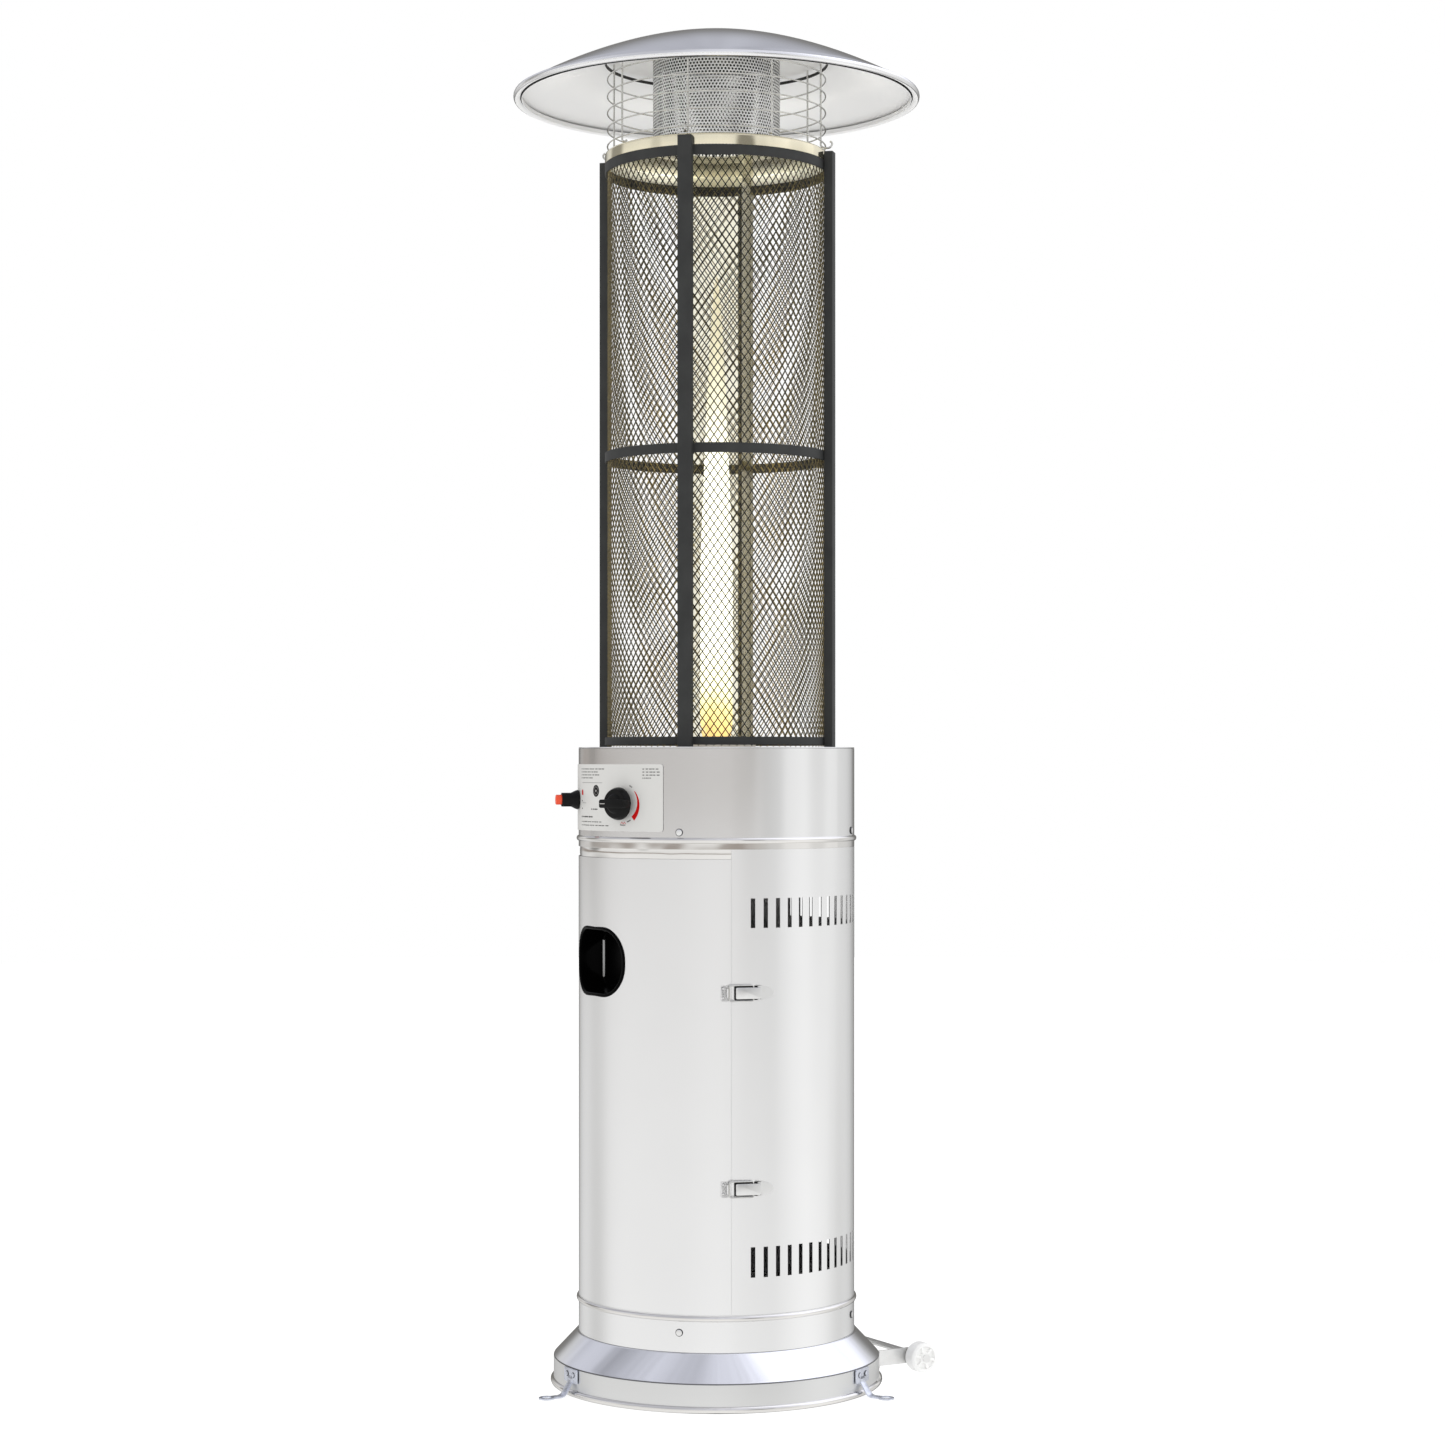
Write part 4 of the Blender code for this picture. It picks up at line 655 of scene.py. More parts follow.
STEEL = brushed("satin steel", (0.88, 0.88, 0.877), 0.26, 0.006, bump=0.012)
HOUSING_STEEL = brushed("housing steel", (0.85, 0.85, 0.848), 0.14, 0.008)
POLISHED = brushed("polished steel", (0.86, 0.865, 0.89), 0.09, dent=0.00008, dent_scale=30.0)
# Darker, warmer copy of the steel for beads, rim and neck: painted shade and dark reflection over real
# dents
BEAD_SHADE_STEEL = brushed("bead steel, painted shade", (0.80, 0.785, 0.76), 0.06, 0.02, dent=0.0008)
BAND_STEEL = brushed("base band steel", (0.76, 0.762, 0.755), 0.36, grain_share=0.03, bump=0.015)
DOME_STEEL = brushed("dome steel", (0.86, 0.865, 0.89), 0.11, grain_share=0.03)
GOLDEN_STEEL = brushed("warm collar steel", (0.85, 0.79, 0.60), 0.11, 0.02, 0.04, 0.03)
LIP_STEEL = metal("bright rolled lip", (0.90, 0.90, 0.90), 0.22, 0.01, grain_share=0.03, bump=0.01)
# Dark steel for painted shade: dark outlines on latch sides and on screw rims and recesses
EDGE_SHADE_STEEL = metal("steel edge, painted shade", (0.07, 0.07, 0.07), 0.40, 0.10, 80.0)
# Dark steel for a painted shade line along the chamfer where the cone meets the band
FOLD_SHADE_STEEL = metal("dark steel at a fold, painted shade", (0.20, 0.20, 0.20), 0.40, 0.10, 40.0)
# Cream tint for the collar's underside: painted warm light from the flame
FLAME_LIT_COLLAR_UNDERSIDE = metal("collar underside, painted flame light", (0.97, 0.95, 0.87), 0.26, 0.03)
PERFORATED = metal("perforated steel", (0.80, 0.80, 0.79), 0.34, 0.06, 16.0)
WIRE = metal("bright wire", (0.66, 0.655, 0.63), 0.24, 0.08, 60.0)
ZINC = metal("bright zinc", (0.70, 0.73, 0.82), 0.28, 0.10, 160.0, grain=700.0, bump=0.15)
PALE_ZINC = metal("satin zinc", (0.84, 0.84, 0.83), 0.30, 0.03, 90.0)
BRASS = metal("brass", (0.72, 0.52, 0.22), 0.30, 0.10, 90.0)
ALUMINIUM = metal("aluminium", (0.78, 0.78, 0.79), 0.33, 0.05, 60.0)
GALVANISED = metal("galvanised steel", (0.60, 0.61, 0.62), 0.42, 0.14, 55.0)
# Near-black steel for the emitter's inner faces and the crown's underside
DARK_INNER_STEEL = surface("dark inner steel", (0.030, 0.028, 0.026), 0.70, 0.2, 24.0, 0.2, 0.2)
# Near-black for painted shade: the bed round each latch lever and the dark line inside the reflector's
# lip
SHADE_BLACK = surface("painted shade black", (0.008, 0.008, 0.008), 0.60, 0.15, 80.0)
UNDERSIDE = surface("reflector underside", (0.93, 0.93, 0.93), 0.85, 0.01, grain_share=0.1,
                    specular=0.1)
# Cream for the collar's inner wall: painted flame light, besides the collar glow lamps
FLAME_LIT_COLLAR_WALL = surface("lit collar wall", (0.94, 0.92, 0.82), 0.50, 0.03, specular=0.2)
BLACK_COAT = surface("black powder coat", (0.024, 0.025, 0.024), 0.62, 0.15, 30.0, specular=0.42,
                     grain=1400.0, grain_share=0.12, bump=0.25, bump_depth=0.0002)
NET_COAT = surface("black net coat", (0.014, 0.014, 0.013), 0.55, 0.2, 30.0, specular=0.2)
# Brown-gold for the net's faces towards the flame: painted flame light on the black coat
NET_FLAME_LIT = surface("net coat, painted flame light", (0.170, 0.140, 0.066), 0.50, 0.2, 30.0,
                     specular=0.35)
BLACK_PLASTIC = surface("black plastic", (0.004, 0.004, 0.004), 0.30, 0.25, 50.0, specular=0.14,
                        bump=0.15)
GLOSS_BLACK = surface("gloss black plastic", (0.001, 0.001, 0.001), 0.22, 0.2, specular=0.03)
# Black that reflects far more strongly than the rest of the cup: a real fold given a painted highlight
FOLD_HIGHLIGHT_BLACK = surface("fold black, painted highlight", (0.02, 0.02, 0.02), 0.12, 0.2, IOR=3.4)
ORANGE = surface("orange plastic", (0.84, 0.075, 0.020), 0.35, 0.05, 80.0)
WHITE_PLASTIC = surface("white plastic", (0.93, 0.93, 0.92), 0.40, 0.02, 60.0, bump=0.12)
CERAMIC = surface("ceramic", (0.74, 0.70, 0.62), 0.62, 0.07, 70.0, bump=0.3, bump_depth=0.0003)
LABEL_FILM = surface("label film", (0.63, 0.625, 0.605), 0.34, 0.012, 22.0, specular=0.3)
RED_PRINT = surface("red print", (0.52, 0.004, 0.004), 0.35, specular=0.12)
BLACK_PRINT = surface("black print", (0.006, 0.006, 0.006), 0.35, 0.15, specular=0.12)
GREY_PRINT = surface("grey print", (0.09, 0.088, 0.085), 0.35, 0.15)
PALE_PRINT = surface("pale print", (0.40, 0.39, 0.375), 0.35, 0.08)


def glass_finish():
    """Thin clear tube, faintly gold, with only its gloss and a little smoke showing."""
    material = bpy.data.materials.new("flame tube glass")
    tree = Tree(material)
    cloud = tree.noise(tree.place((1.0, 1.0, 0.35)), 7.0, 2.0)
    tint = tree.blend(cloud, (0.965, 0.955, 0.900, 1.0), (0.990, 0.985, 0.955, 1.0))
    gloss = tree.first('BsdfGlossy', {'Color': (0.95, 0.93, 0.85, 1.0), 'Roughness': 0.05})
    share = tree.sum('MULTIPLY', tree.first('Fresnel', {'IOR': 1.35}), 0.55)
    tree.mix(share, tree.first('BsdfTransparent', {0: tint}), gloss)
    return material


def flame_finish(name, stops, thin, strength):
    """Light that changes colour from the flame's foot to its tip."""
    material = bpy.data.materials.new(name)
    tree = Tree(material)
    height = tree.node('SeparateXYZ', {0: tree.spot()}).outputs[2]
    curl = tree.noise(tree.place((1.0, 1.0, 0.22)), 46.0, 3.0)
    wave = tree.sum('MULTIPLY', tree.sum('SUBTRACT', curl, 0.5), 0.10)
    rise = tree.spread(height, FLAME_FOOT, FLAME_TIP, smooth=False)
    colour = tree.ramp(tree.sum('ADD', rise, wave, clamp=True), stops)
    light = tree.first('Emission', {'Color': colour, 'Strength': strength})
    tree.mix(thin, light, tree.first('BsdfTransparent'))
    return material


GLASS = glass_finish()
FLAME_STOPS = ((0.00, (0.62, 0.40, 0.16)), (0.034, (0.66, 0.44, 0.17)), (0.078, (0.86, 0.74, 0.30)),
               (0.121, (0.95, 0.92, 0.58)), (0.208, (1.0, 1.0, 0.86)), (0.60, (1.0, 0.99, 0.84)),
               (0.70, (0.60, 0.57, 0.44)), (0.82, (0.43, 0.41, 0.31)), (1.00, (0.42, 0.38, 0.27)))
ROOT_STOPS = ((0.00, (1.0, 0.40, 0.16)), (0.05, (1.0, 0.50, 0.20)), (0.11, (1.0, 0.68, 0.24)),
              (0.16, (1.0, 0.90, 0.44)), (1.00, (1.0, 0.95, 0.60)))
FLAME_OUTER = flame_finish("flame skin", FLAME_STOPS, 0.40, 2.3)
FLAME_INNER = flame_finish("flame core", FLAME_STOPS, 0.35, 2.4)
FLAME_ROOT = flame_finish("flame root", ROOT_STOPS, 0.05, 1.3)


# Base and body

def bead_line(height):
    """Points of a rolled bead, from its top to its bottom."""
    turns = [radians(180 * i / BEAD_STEPS) for i in range(BEAD_STEPS + 1)]
    return [(BODY_RADIUS + BEAD_DEPTH * sin(turn) ** 1.3, height + BEAD_WIDTH / 2 * cos(turn))
            for turn in turns]


def build_base():
    line = eased([(FLANGE_RADIUS, SKIRT_TOP), (CONE_TOP_RADIUS, SKIRT_TOP),
                  (BAND_RADIUS - CONE_STEP, BAND_TOP + CONE_STEP), (BAND_RADIUS, BAND_TOP),
                  (BAND_RADIUS, RIM_HEIGHT)], 0.0016)
    rim = [(BAND_RADIUS + RIM_DEPTH * share, RIM_HEIGHT * up)
           for up, share in ((0.86, 0.62), (0.62, 0.97), (0.38, 1.0), (0.16, 0.80), (0.0, 0.35))]
    skirt = piece("base_cover", turned(line + rim), (BAND_STEEL, POLISHED, BEAD_SHADE_STEEL, FOLD_SHADE_STEEL),
                  "base_skirt", [wall(SHEET)])
    paint(skirt, POLISHED, lambda face: face.center.z > BAND_TOP + CONE_STEP * 0.4)
    # Rim painted darker: painted shade
    paint(skirt, BEAD_SHADE_STEEL, lambda face: face.center.z < RIM_HEIGHT)
    # Painted shade: a dark line along the chamfer between cone and band
    paint(skirt, FOLD_SHADE_STEEL, lambda face: abs(face.center.z - BAND_TOP) < CONE_STEP * 0.45)


def build_lower_ring():
    line = [(SPIGOT_RADIUS, LOWER_TOP + SPIGOT_LENGTH), (SPIGOT_RADIUS, LOWER_TOP),
            (BODY_RADIUS, LOWER_TOP), *bead_line(LOWER_BEAD_HEIGHT),
            (BODY_RADIUS, SKIRT_TOP + GAP), (FLANGE_RADIUS, SKIRT_TOP + GAP)]
    ring = piece("lower_band", turned(line), (STEEL, BEAD_SHADE_STEEL), "lower_ring",
                 [wall(SHEET)])
    # Bead painted darker: painted shade
    paint(ring, BEAD_SHADE_STEEL, lambda face: abs(face.center.z - LOWER_BEAD_HEIGHT) < BEAD_WIDTH / 2)


def build_shell():
    """The rear shell, its vent slots left open between the faces."""
    start = DOOR_HALF_ANGLE + SEAM_ANGLE
    half = degrees(SLOT_WIDTH / 2 / BODY_RADIUS)
    slots = [FIRST_SLOT + i * SLOT_PITCH for i in range(SLOTS_PER_SIDE)]
    slots += [360 - angle for angle in reversed(slots)]
    cuts = [start, *(slot + side for slot in slots for side in (-half, half)), 360 - start]
    levels = [LOWER_TOP + GAP, *SLOT_LEVELS, HOUSING_BOTTOM - GAP]
    shape = bmesh.new()
    for number, (first, last) in enumerate(zip(cuts, cuts[1:])):
        parts = max(1, round((last - first) / SHELL_STEP))
        turns = [first + (last - first) * k / parts for k in range(parts + 1)]
        for a, b in zip(turns, turns[1:]):
            for j, (low, high) in enumerate(zip(levels, levels[1:])):
                if number % 2 == 0 or j % 2 == 0:
                    corners = ((a, high), (a, low), (b, low), (b, high))
                    shape.faces.new([shape.verts.new(polar(BODY_RADIUS, turn, z))
                                     for turn, z in corners])
    piece("rear_cover", shape, STEEL, "rear_shell", [wall(SHEET)])


def build_door():
    door = turned([(BODY_RADIUS, DOOR_TOP), (BODY_RADIUS, LOWER_TOP + GAP)], 96,
                  -DOOR_HALF_ANGLE, 2 * DOOR_HALF_ANGLE)
    outline = rounded(HANDLE_WIDTH / 2, HANDLE_HEIGHT / 2, HANDLE_CORNER, 12)
    hole = aimed(prism(outline, -OVERRUN * 6, OVERRUN), BODY_RADIUS, 0, HANDLE_CENTRE)
    piece("door_skin", door, STEEL, "door_panel", [wall(SHEET), cutting(hole)], "door")


def build_handle():
    """The moulded cup: a lip that follows the door, then walls down to a flat floor, with a painted
    highlight along the fold by the floor.
    """
    lip = ((-HANDLE_LIP, 0.0002), (-HANDLE_LIP, 0.0008), (-0.0030, 0.0014), (-0.0020, 0.0017),
           (-0.0006, 0.0016), (0.0006, 0.0009), (0.0013, -0.0010), (0.0018, -0.0060))
    floor_y = -(BODY_RADIUS - HANDLE_DEPTH + 0.002)
    loops = []
    for inset, out in lip:
        outline = rounded(HANDLE_WIDTH / 2 - inset, HANDLE_HEIGHT / 2 - inset,
                          HANDLE_CORNER - inset, 14)
        loops.append([(x, -sqrt((BODY_RADIUS + out) ** 2 - x ** 2), z) for x, z in outline])
    mouth, foot = loops[-1], rounded(*HANDLE_FLOOR, 14)
    for share in (0.35, 0.70, 0.90, 0.96, 0.985, 1.0):
        past = max(0.0, share - 0.9) / 0.1
        grow = 1 + HANDLE_FOLD * sqrt(max(0.0, 1 - past ** 2)) / HANDLE_FLOOR[0]
        part = min(share / 0.9, 1.0)
        loops.append([(x + (fx * grow - x) * part, y + (floor_y - y) * share,
                       z + (fz * grow - z) * part) for (x, y, z), (fx, fz) in zip(mouth, foot)])
    shape = bmesh.new()
    rows = [[shape.verts.new((x, y, HANDLE_CENTRE + z)) for x, y, z in loop] for loop in loops]
    strips(shape, rows)
    shape.faces.new(rows[-1])
    cup = piece("handle_bowl", shape, (GLOSS_BLACK, FOLD_HIGHLIGHT_BLACK), "handle_cup",
                [wall(HANDLE_WALL)], "door", 50)
    # The fold's faces by the floor take the strongly reflecting black: a painted highlight line
    paint(cup, FOLD_HIGHLIGHT_BLACK, lambda face:
          face.center.y > floor_y - 0.0045 and abs(face.normal.x) > 0.15 and abs(face.normal.z) < 0.1
          and abs(face.center.z - HANDLE_CENTRE) < HANDLE_FLOOR[1] - HANDLE_FLOOR[2])


def neck_line():
    """The neck over the door bows out a little, so that it mirrors the room in streaks."""
    middle, half = (HOUSING_BOTTOM + DOOR_TOP) / 2, (HOUSING_BOTTOM - DOOR_TOP) / 2
    return [(SPIGOT_RADIUS - NECK_BOW * (k / NECK_STEPS) ** 2, middle - half * k / NECK_STEPS)
            for k in range(-NECK_STEPS, NECK_STEPS + 1)]


def build_housing():
    foot = DOOR_TOP - SPIGOT_LENGTH
    line = [(SPIGOT_RADIUS - SPIGOT_LENGTH, DECK_BOTTOM - GAP), (BODY_RADIUS, DECK_BOTTOM - GAP),
            *bead_line(HOUSING_BEAD_HEIGHT), (BODY_RADIUS, HOUSING_BOTTOM), *neck_line(),
            (SPIGOT_RADIUS, foot), (FLANGE_RADIUS, foot)]
    housing = piece("housing_skin", turned(line), (HOUSING_STEEL, BEAD_SHADE_STEEL),
                    "control_housing", [wall(SHEET)])
    # Bead and the neck below it painted darker: painted shade and dark reflection
    paint(housing, BEAD_SHADE_STEEL,
          lambda face: face.center.z < HOUSING_BEAD_HEIGHT + BEAD_WIDTH / 2)
    edge = eased([(DECK_HOLE, DECK_TOP), (BODY_RADIUS, DECK_TOP), (BODY_RADIUS, DECK_BOTTOM),
                  (DECK_HOLE, DECK_BOTTOM)], 0.0006)
    piece("deck_plate", turned(edge, closed=True), HOUSING_STEEL, "housing_deck")


# Controls

def build_label():
    middle, half = (LABEL_HEAD + LABEL_FOOT) / 2, (LABEL_HEAD - LABEL_FOOT) / 2
    outline = rounded(LABEL_FACE * radians(LABEL_HALF_ANGLE), half, LABEL_CORNER)
    sheet = wrap(flat([[(x, middle + y) for x, y in outline]]), LABEL_FACE)
    piece("label_plate", sheet, LABEL_FILM, "control_label", [wall(LABEL_SHEET)])


def printed(name, outlines, finish, lift=PRINT_LIFT):
    """Thin print on the label, from flat outlines along the skin and up."""
    piece(name, wrap(flat(outlines, 0.003), LABEL_FACE + lift), finish,
          steps=[wall(PRINT_SHEET)])


def bar(x, y, width, height):
    return [(x, y), (x + width, y), (x + width, y + height), (x, y + height)]


def dashes(x, y, total, height, pieces):
    """A row of short bars in place of a line of words."""
    pitch = total / pieces
    return [bar(x + i * pitch, y, pitch * (0.55 + 0.3 * ((i * 7) % 5) / 4), height)
            for i in range(pieces)]


def arc_band(x, y, inner, outer, start, end, steps=20):
    """An arc with its own width at each end; inner and outer are (start, end) radii."""
    points = []
    for (first, last), order in ((outer, -1), (inner, 1)):
        for t in [i / steps for i in range(steps + 1)][::order]:
            radius, turn = first + (last - first) * t, radians(start + (end - start) * t)
            points.append((x + radius * cos(turn), y + radius * sin(turn)))
    return points


def build_print():
    """Generic dial marks and rows of bars; no words."""
    x, y = LABEL_FACE * radians(KNOB_ANGLE), KNOB_HEIGHT
    crescent = arc_band(x, y, (0.0243, 0.0218), (0.0252, 0.0284), 41, -50)
    zigzag = [(x - 0.0045 + 0.0022 * i, y - 0.0258 + 0.0026 * (i % 2)) for i in range(5)]
    spark = [(along, up - 0.0009) for along, up in zigzag] + zigzag[::-1]
    drop = bar(-0.0425, y + 0.0105, 0.0065, 0.0070)
    printed("print_red", [crescent, spark, drop], RED_PRINT)

    disc = (0.0065, y + 0.0162)
    printed("print_black", [
        circle(0.0078, 32, *disc),
        *dashes(-0.0070, y - 0.0085, 0.0190, 0.0014, 4),
        *dashes(-0.0430, y - 0.0188, 0.0430, 0.0017, 6),
        bar(-0.0420, y + 0.0020, 0.0030, 0.0016),
        bar(-0.0420, y - 0.0080, 0.0030, 0.0016)], BLACK_PRINT)
    ring = arc_band(*disc, (0.0052, 0.0052), (0.0055, 0.0055), 350, 10)
    diamond = [(disc[0] + 0.0016 * across, disc[1] + 0.0018 * up)
               for across, up in ((0, -1), (1, 0), (0, 1), (-1, 0))]
    printed("print_emblem", [ring, diamond], PALE_PRINT, PRINT_LIFT * 2)

    left, right, top = -0.0440, 0.0945, LABEL_HEAD - 0.0068
    soft = []
    for row, (first, second) in enumerate(((0.073, 0.0245), (0.057, 0.0262), (0.061, 0.0262),
                                           (0.043, 0.0130))):
        soft += dashes(left, top - row * 0.0039, first, 0.0012, 9)
        soft += dashes(right, top - row * 0.0039, second, 0.0012, 5)
    for row in range(2):
        soft += dashes(left + 0.001, y - 0.0250 - row * 0.0046, 0.0640 + 0.016 * row, 0.0012, 10)
    soft += [bar(left + 0.004, y + 0.0266, 0.0620, 0.0004), bar(left + 0.004, y, 0.0150, 0.0004)]
    ticks = ((range(64, 55, -4), 0.0250, 0.0266, 1.5), (range(-61, -74, -4), 0.0236, 0.0252, 1.5),
             (range(-84, -101, -4), 0.0272, 0.0287, 1.4))
    for turns, inner, outer, half in ticks:
        soft += [arc_band(x, y, (inner, inner), (outer, outer), turn + half, turn - half, 3)
                 for turn in turns]
    printed("print_grey", soft, GREY_PRINT)


def build_knob():
    disc = turned(eased([(0, KNOB_DISC), (KNOB_RADIUS - 0.0030, KNOB_DISC),
                         (KNOB_RADIUS - 0.0006, KNOB_DISC * 0.62), (KNOB_RADIUS, KNOB_STAND),
                         (KNOB_SHAFT, KNOB_STAND), (KNOB_SHAFT, 0.0), (0, 0)], 0.0012), 96)
    half, crown = KNOB_RADIUS - 0.0005, KNOB_DISC + 0.0022
    grip = prism(rounded(half, KNOB_GRIP_HEIGHT / 2, KNOB_GRIP_HEIGHT / 4), KNOB_DISC / 2,
                 KNOB_LENGTH)
    hub = turned(eased([(0, crown), (0.0105, crown), (0.0130, KNOB_DISC)], 0.002), 64)
    place = (KNOB_BACK, KNOB_ANGLE, KNOB_HEIGHT)
    piece("knob_cap", aimed(joined(disc, grip, hub), *place), BLACK_PLASTIC,
          "control_knob", [edges(0.0009)], "knob")
    pointer = prism(rounded(0.0045, 0.0005, 0.0004, 3), KNOB_LENGTH, KNOB_LENGTH + 0.0001)
    moved(pointer, shift(0.0060 - half, 0, 0))
    piece("knob_pointer", aimed(pointer, *place), PALE_PRINT, body="knob")


def build_igniter():
    back, end, bore = LABEL_FACE + GAP, IGNITER_LENGTH, IGNITER_SLEEVE - 0.0018
    line = [(bore, end - 0.014), (bore, end), (IGNITER_SLEEVE, end), (IGNITER_SLEEVE, 0.0105),
            (IGNITER_COLLAR - 0.0012, 0.0052), (IGNITER_COLLAR, 0.0015), (IGNITER_COLLAR - 0.0008, 0),
            (bore, 0)]
    cap = turned(eased(line, 0.0009, closed=True), 72, closed=True)
    piece("igniter_cap", aimed(cap, back, IGNITER_ANGLE, IGNITER_HEIGHT), BLACK_PLASTIC,
          "igniter_body")
    button = turned(eased([(0, BUTTON_LENGTH), (BUTTON_RADIUS, BUTTON_LENGTH), (BUTTON_RADIUS, 0),
                           (0, 0)], 0.0011), 56)
    out = back + end + BUTTON_PROJECTION - BUTTON_LENGTH
    piece("igniter_push", aimed(button, out, IGNITER_ANGLE, IGNITER_HEIGHT), ORANGE,
          "igniter_button", body="button")


# Flame tube and guard

def build_tube():
    shape = band(GLASS_RADIUS, GLASS_RADIUS - GLASS_WALL, foot_of("glass_tube"),
                 head_of("glass_tube"), 0.0010, RING_STEPS)
    tube = piece("tube_glass", shape, GLASS, "glass_tube")
    tube.visible_shadow = False


def flame(name, finish, radius, tip, lift, steps):
    """One glowing body: from the tip down a long taper, a column and a drawn-in foot."""
    foot = FLAME_FOOT + lift
    points = []
    for i in range(FLAME_STEPS + 1):
        t = 1 - i / FLAME_STEPS
        taper = min(1.0, (1 - t) / 0.62) ** 0.62
        drawn_in = 0.80 + 0.20 * min(1.0, t / 0.05)
        points.append((radius * taper * drawn_in, foot + (tip - foot) * t))
    body = piece(name, turned([*points, (0, foot)], steps), finish)
    body.visible_shadow = False


def build_flame():
    flame("flame_skin", FLAME_OUTER, FLAME_RADIUS, FLAME_TIP, 0.0, 64)
    flame("flame_core", FLAME_INNER, FLAME_RADIUS * 0.72, FLAME_TIP - 0.075, 0.004, 64)
    flame("flame_root", FLAME_ROOT, FLAME_RADIUS * 0.62, FLAME_FOOT + FLAME_ROOT_LENGTH, 0.006, 48)


def build_posts():
    half, back = POST_WIDTH / 2, -HOOP_RADIUS - GAP
    front = back - POST_DEPTH
    inner, floor = half - POST_SHEET, front + POST_SHEET
    outline = eased([(-half, back), (-half, front), (half, front), (half, back), (inner, back),
                     (inner, floor), (-inner, floor), (-inner, back)], POST_BEND, closed=True)
    for number, angle in enumerate(POST_ANGLES, 1):
        node = "guard_post_%d" % number
        post = moved(prism(outline, foot_of(node), head_of(node)), spin(angle))
        piece("post_%d" % number, post, BLACK_COAT, node)


def build_hoops():
    for level, stand in (("bottom", HOOP_STAND), ("middle", 0.0), ("top", 0.0)):
        node = "guard_hoop_" + level
        hoop = band(HOOP_RADIUS, HOOP_RADIUS - HOOP_DEPTH, foot_of(node) + stand, head_of(node),
                    0.0007)
        piece("hoop_" + level, hoop, BLACK_COAT, node)


def build_nets():
    """Four quarters of expanded metal, a diamond to each cell."""
    width = NET_RADIUS * tau / NET_COLUMNS
    for number, angle in enumerate(POST_ANGLES, 1):
        node = "guard_net_%d" % number
        low, high = foot_of(node), head_of(node)
        height = (high - low) / NET_ROWS
        cells = []
        for across in range(NET_COLUMNS // 2 - 1):
            for up in range(across % 2, 2 * NET_ROWS - 1, 2):
                x, y = (across + 1) / 2 * width, low + (up + 1) / 2 * height
                cells.append([(x - width / 2, y), (x, y - height / 2), (x + width / 2, y),
                              (x, y + height / 2)])
        net = piece("net_%d" % number, wrap(lattice(cells, NET_STRAND), NET_RADIUS, angle),
                    (NET_COAT, NET_FLAME_LIT), node, [wall(NET_SHEET, 0.0)])
        # Faces towards the flame take the painted flame light
        paint(net, NET_FLAME_LIT, lambda face: outwards(face) < 0)


# Head

def dome_height(radius):
    return REFLECTOR_TOP - DOME_RISE * (radius / DOME_RADIUS) ** DOME_POWER


def build_collar():
    line = [(GLASS_RADIUS + GAP * 2, COLLAR_TOP), (COLLAR_SEAT_RADIUS, COLLAR_TOP),
            (COLLAR_SHOULDER_RADIUS, COLLAR_SHOULDER_HEIGHT), (COLLAR_EDGE_RADIUS, COLLAR_EDGE_HEIGHT),
            (COLLAR_EDGE_RADIUS, COLLAR_FOOT)]
    collar = piece("collar_skin", turned(eased(line, 0.0014)),
                   (GOLDEN_STEEL, FLAME_LIT_COLLAR_UNDERSIDE, FLAME_LIT_COLLAR_WALL), "top_collar",
                   [wall(COLLAR_SHEET)])
    # Underside and inner wall take the painted flame light
    paint(collar, FLAME_LIT_COLLAR_UNDERSIDE, lambda face: face.normal.z < -0.3)
    paint(collar, FLAME_LIT_COLLAR_WALL, lambda face: outwards(face) < -0.5)


def build_emitter():
    """Staggered round holes in a tube, with plain hems and a crown."""
    count = round(tau * EMITTER_RADIUS / EMITTER_PITCH)
    pitch = tau * EMITTER_RADIUS / count
    rise, corner = pitch * sqrt(3) / 2, pitch / sqrt(3)
    low, high = COLLAR_TOP + GAP, EMITTER_SHOULDER
    rows = int((high - low - 0.004) / rise)
    first = (low + high - (rows - 1) * rise) / 2
    cells = []
    for row in range(rows):
        for column in range(count):
            middle = ((column + (row % 2) / 2) * pitch, first + row * rise)
            cells.append(circle(corner, 6, *middle, start=90))
    sheet = wrap(lattice(cells, pitch - 2 * EMITTER_HOLE), EMITTER_RADIUS - 0.0001)
    mesh = piece("emitter_mesh", sheet, (PERFORATED, DARK_INNER_STEEL), "emitter",
                 [wall(EMITTER_SHEET)])
    # Inner faces darker than the outer ones
    paint(mesh, DARK_INNER_STEEL, lambda face: outwards(face) < 0.5)
    hem, head = first - rise * 0.5, first + (rows - 0.5) * rise
    for name, foot, top in (("emitter_foot_hem", low, hem), ("emitter_head_hem", head, high)):
        piece(name, band(EMITTER_RADIUS, EMITTER_RADIUS - EMITTER_HEM, foot, top, 0.0003, RING_STEPS),
              PERFORATED)
    crown = eased([(0, EMITTER_TOP), (EMITTER_RADIUS, EMITTER_TOP - SHEET),
                   (EMITTER_RADIUS, EMITTER_SHOULDER)], 0.0012)
    cap = piece("emitter_crown", turned(crown, RING_STEPS), (PERFORATED, DARK_INNER_STEEL),
                steps=[wall(EMITTER_HEM)])
    # Underside of the crown darker
    paint(cap, DARK_INNER_STEEL, lambda face: face.normal.z < -0.3)


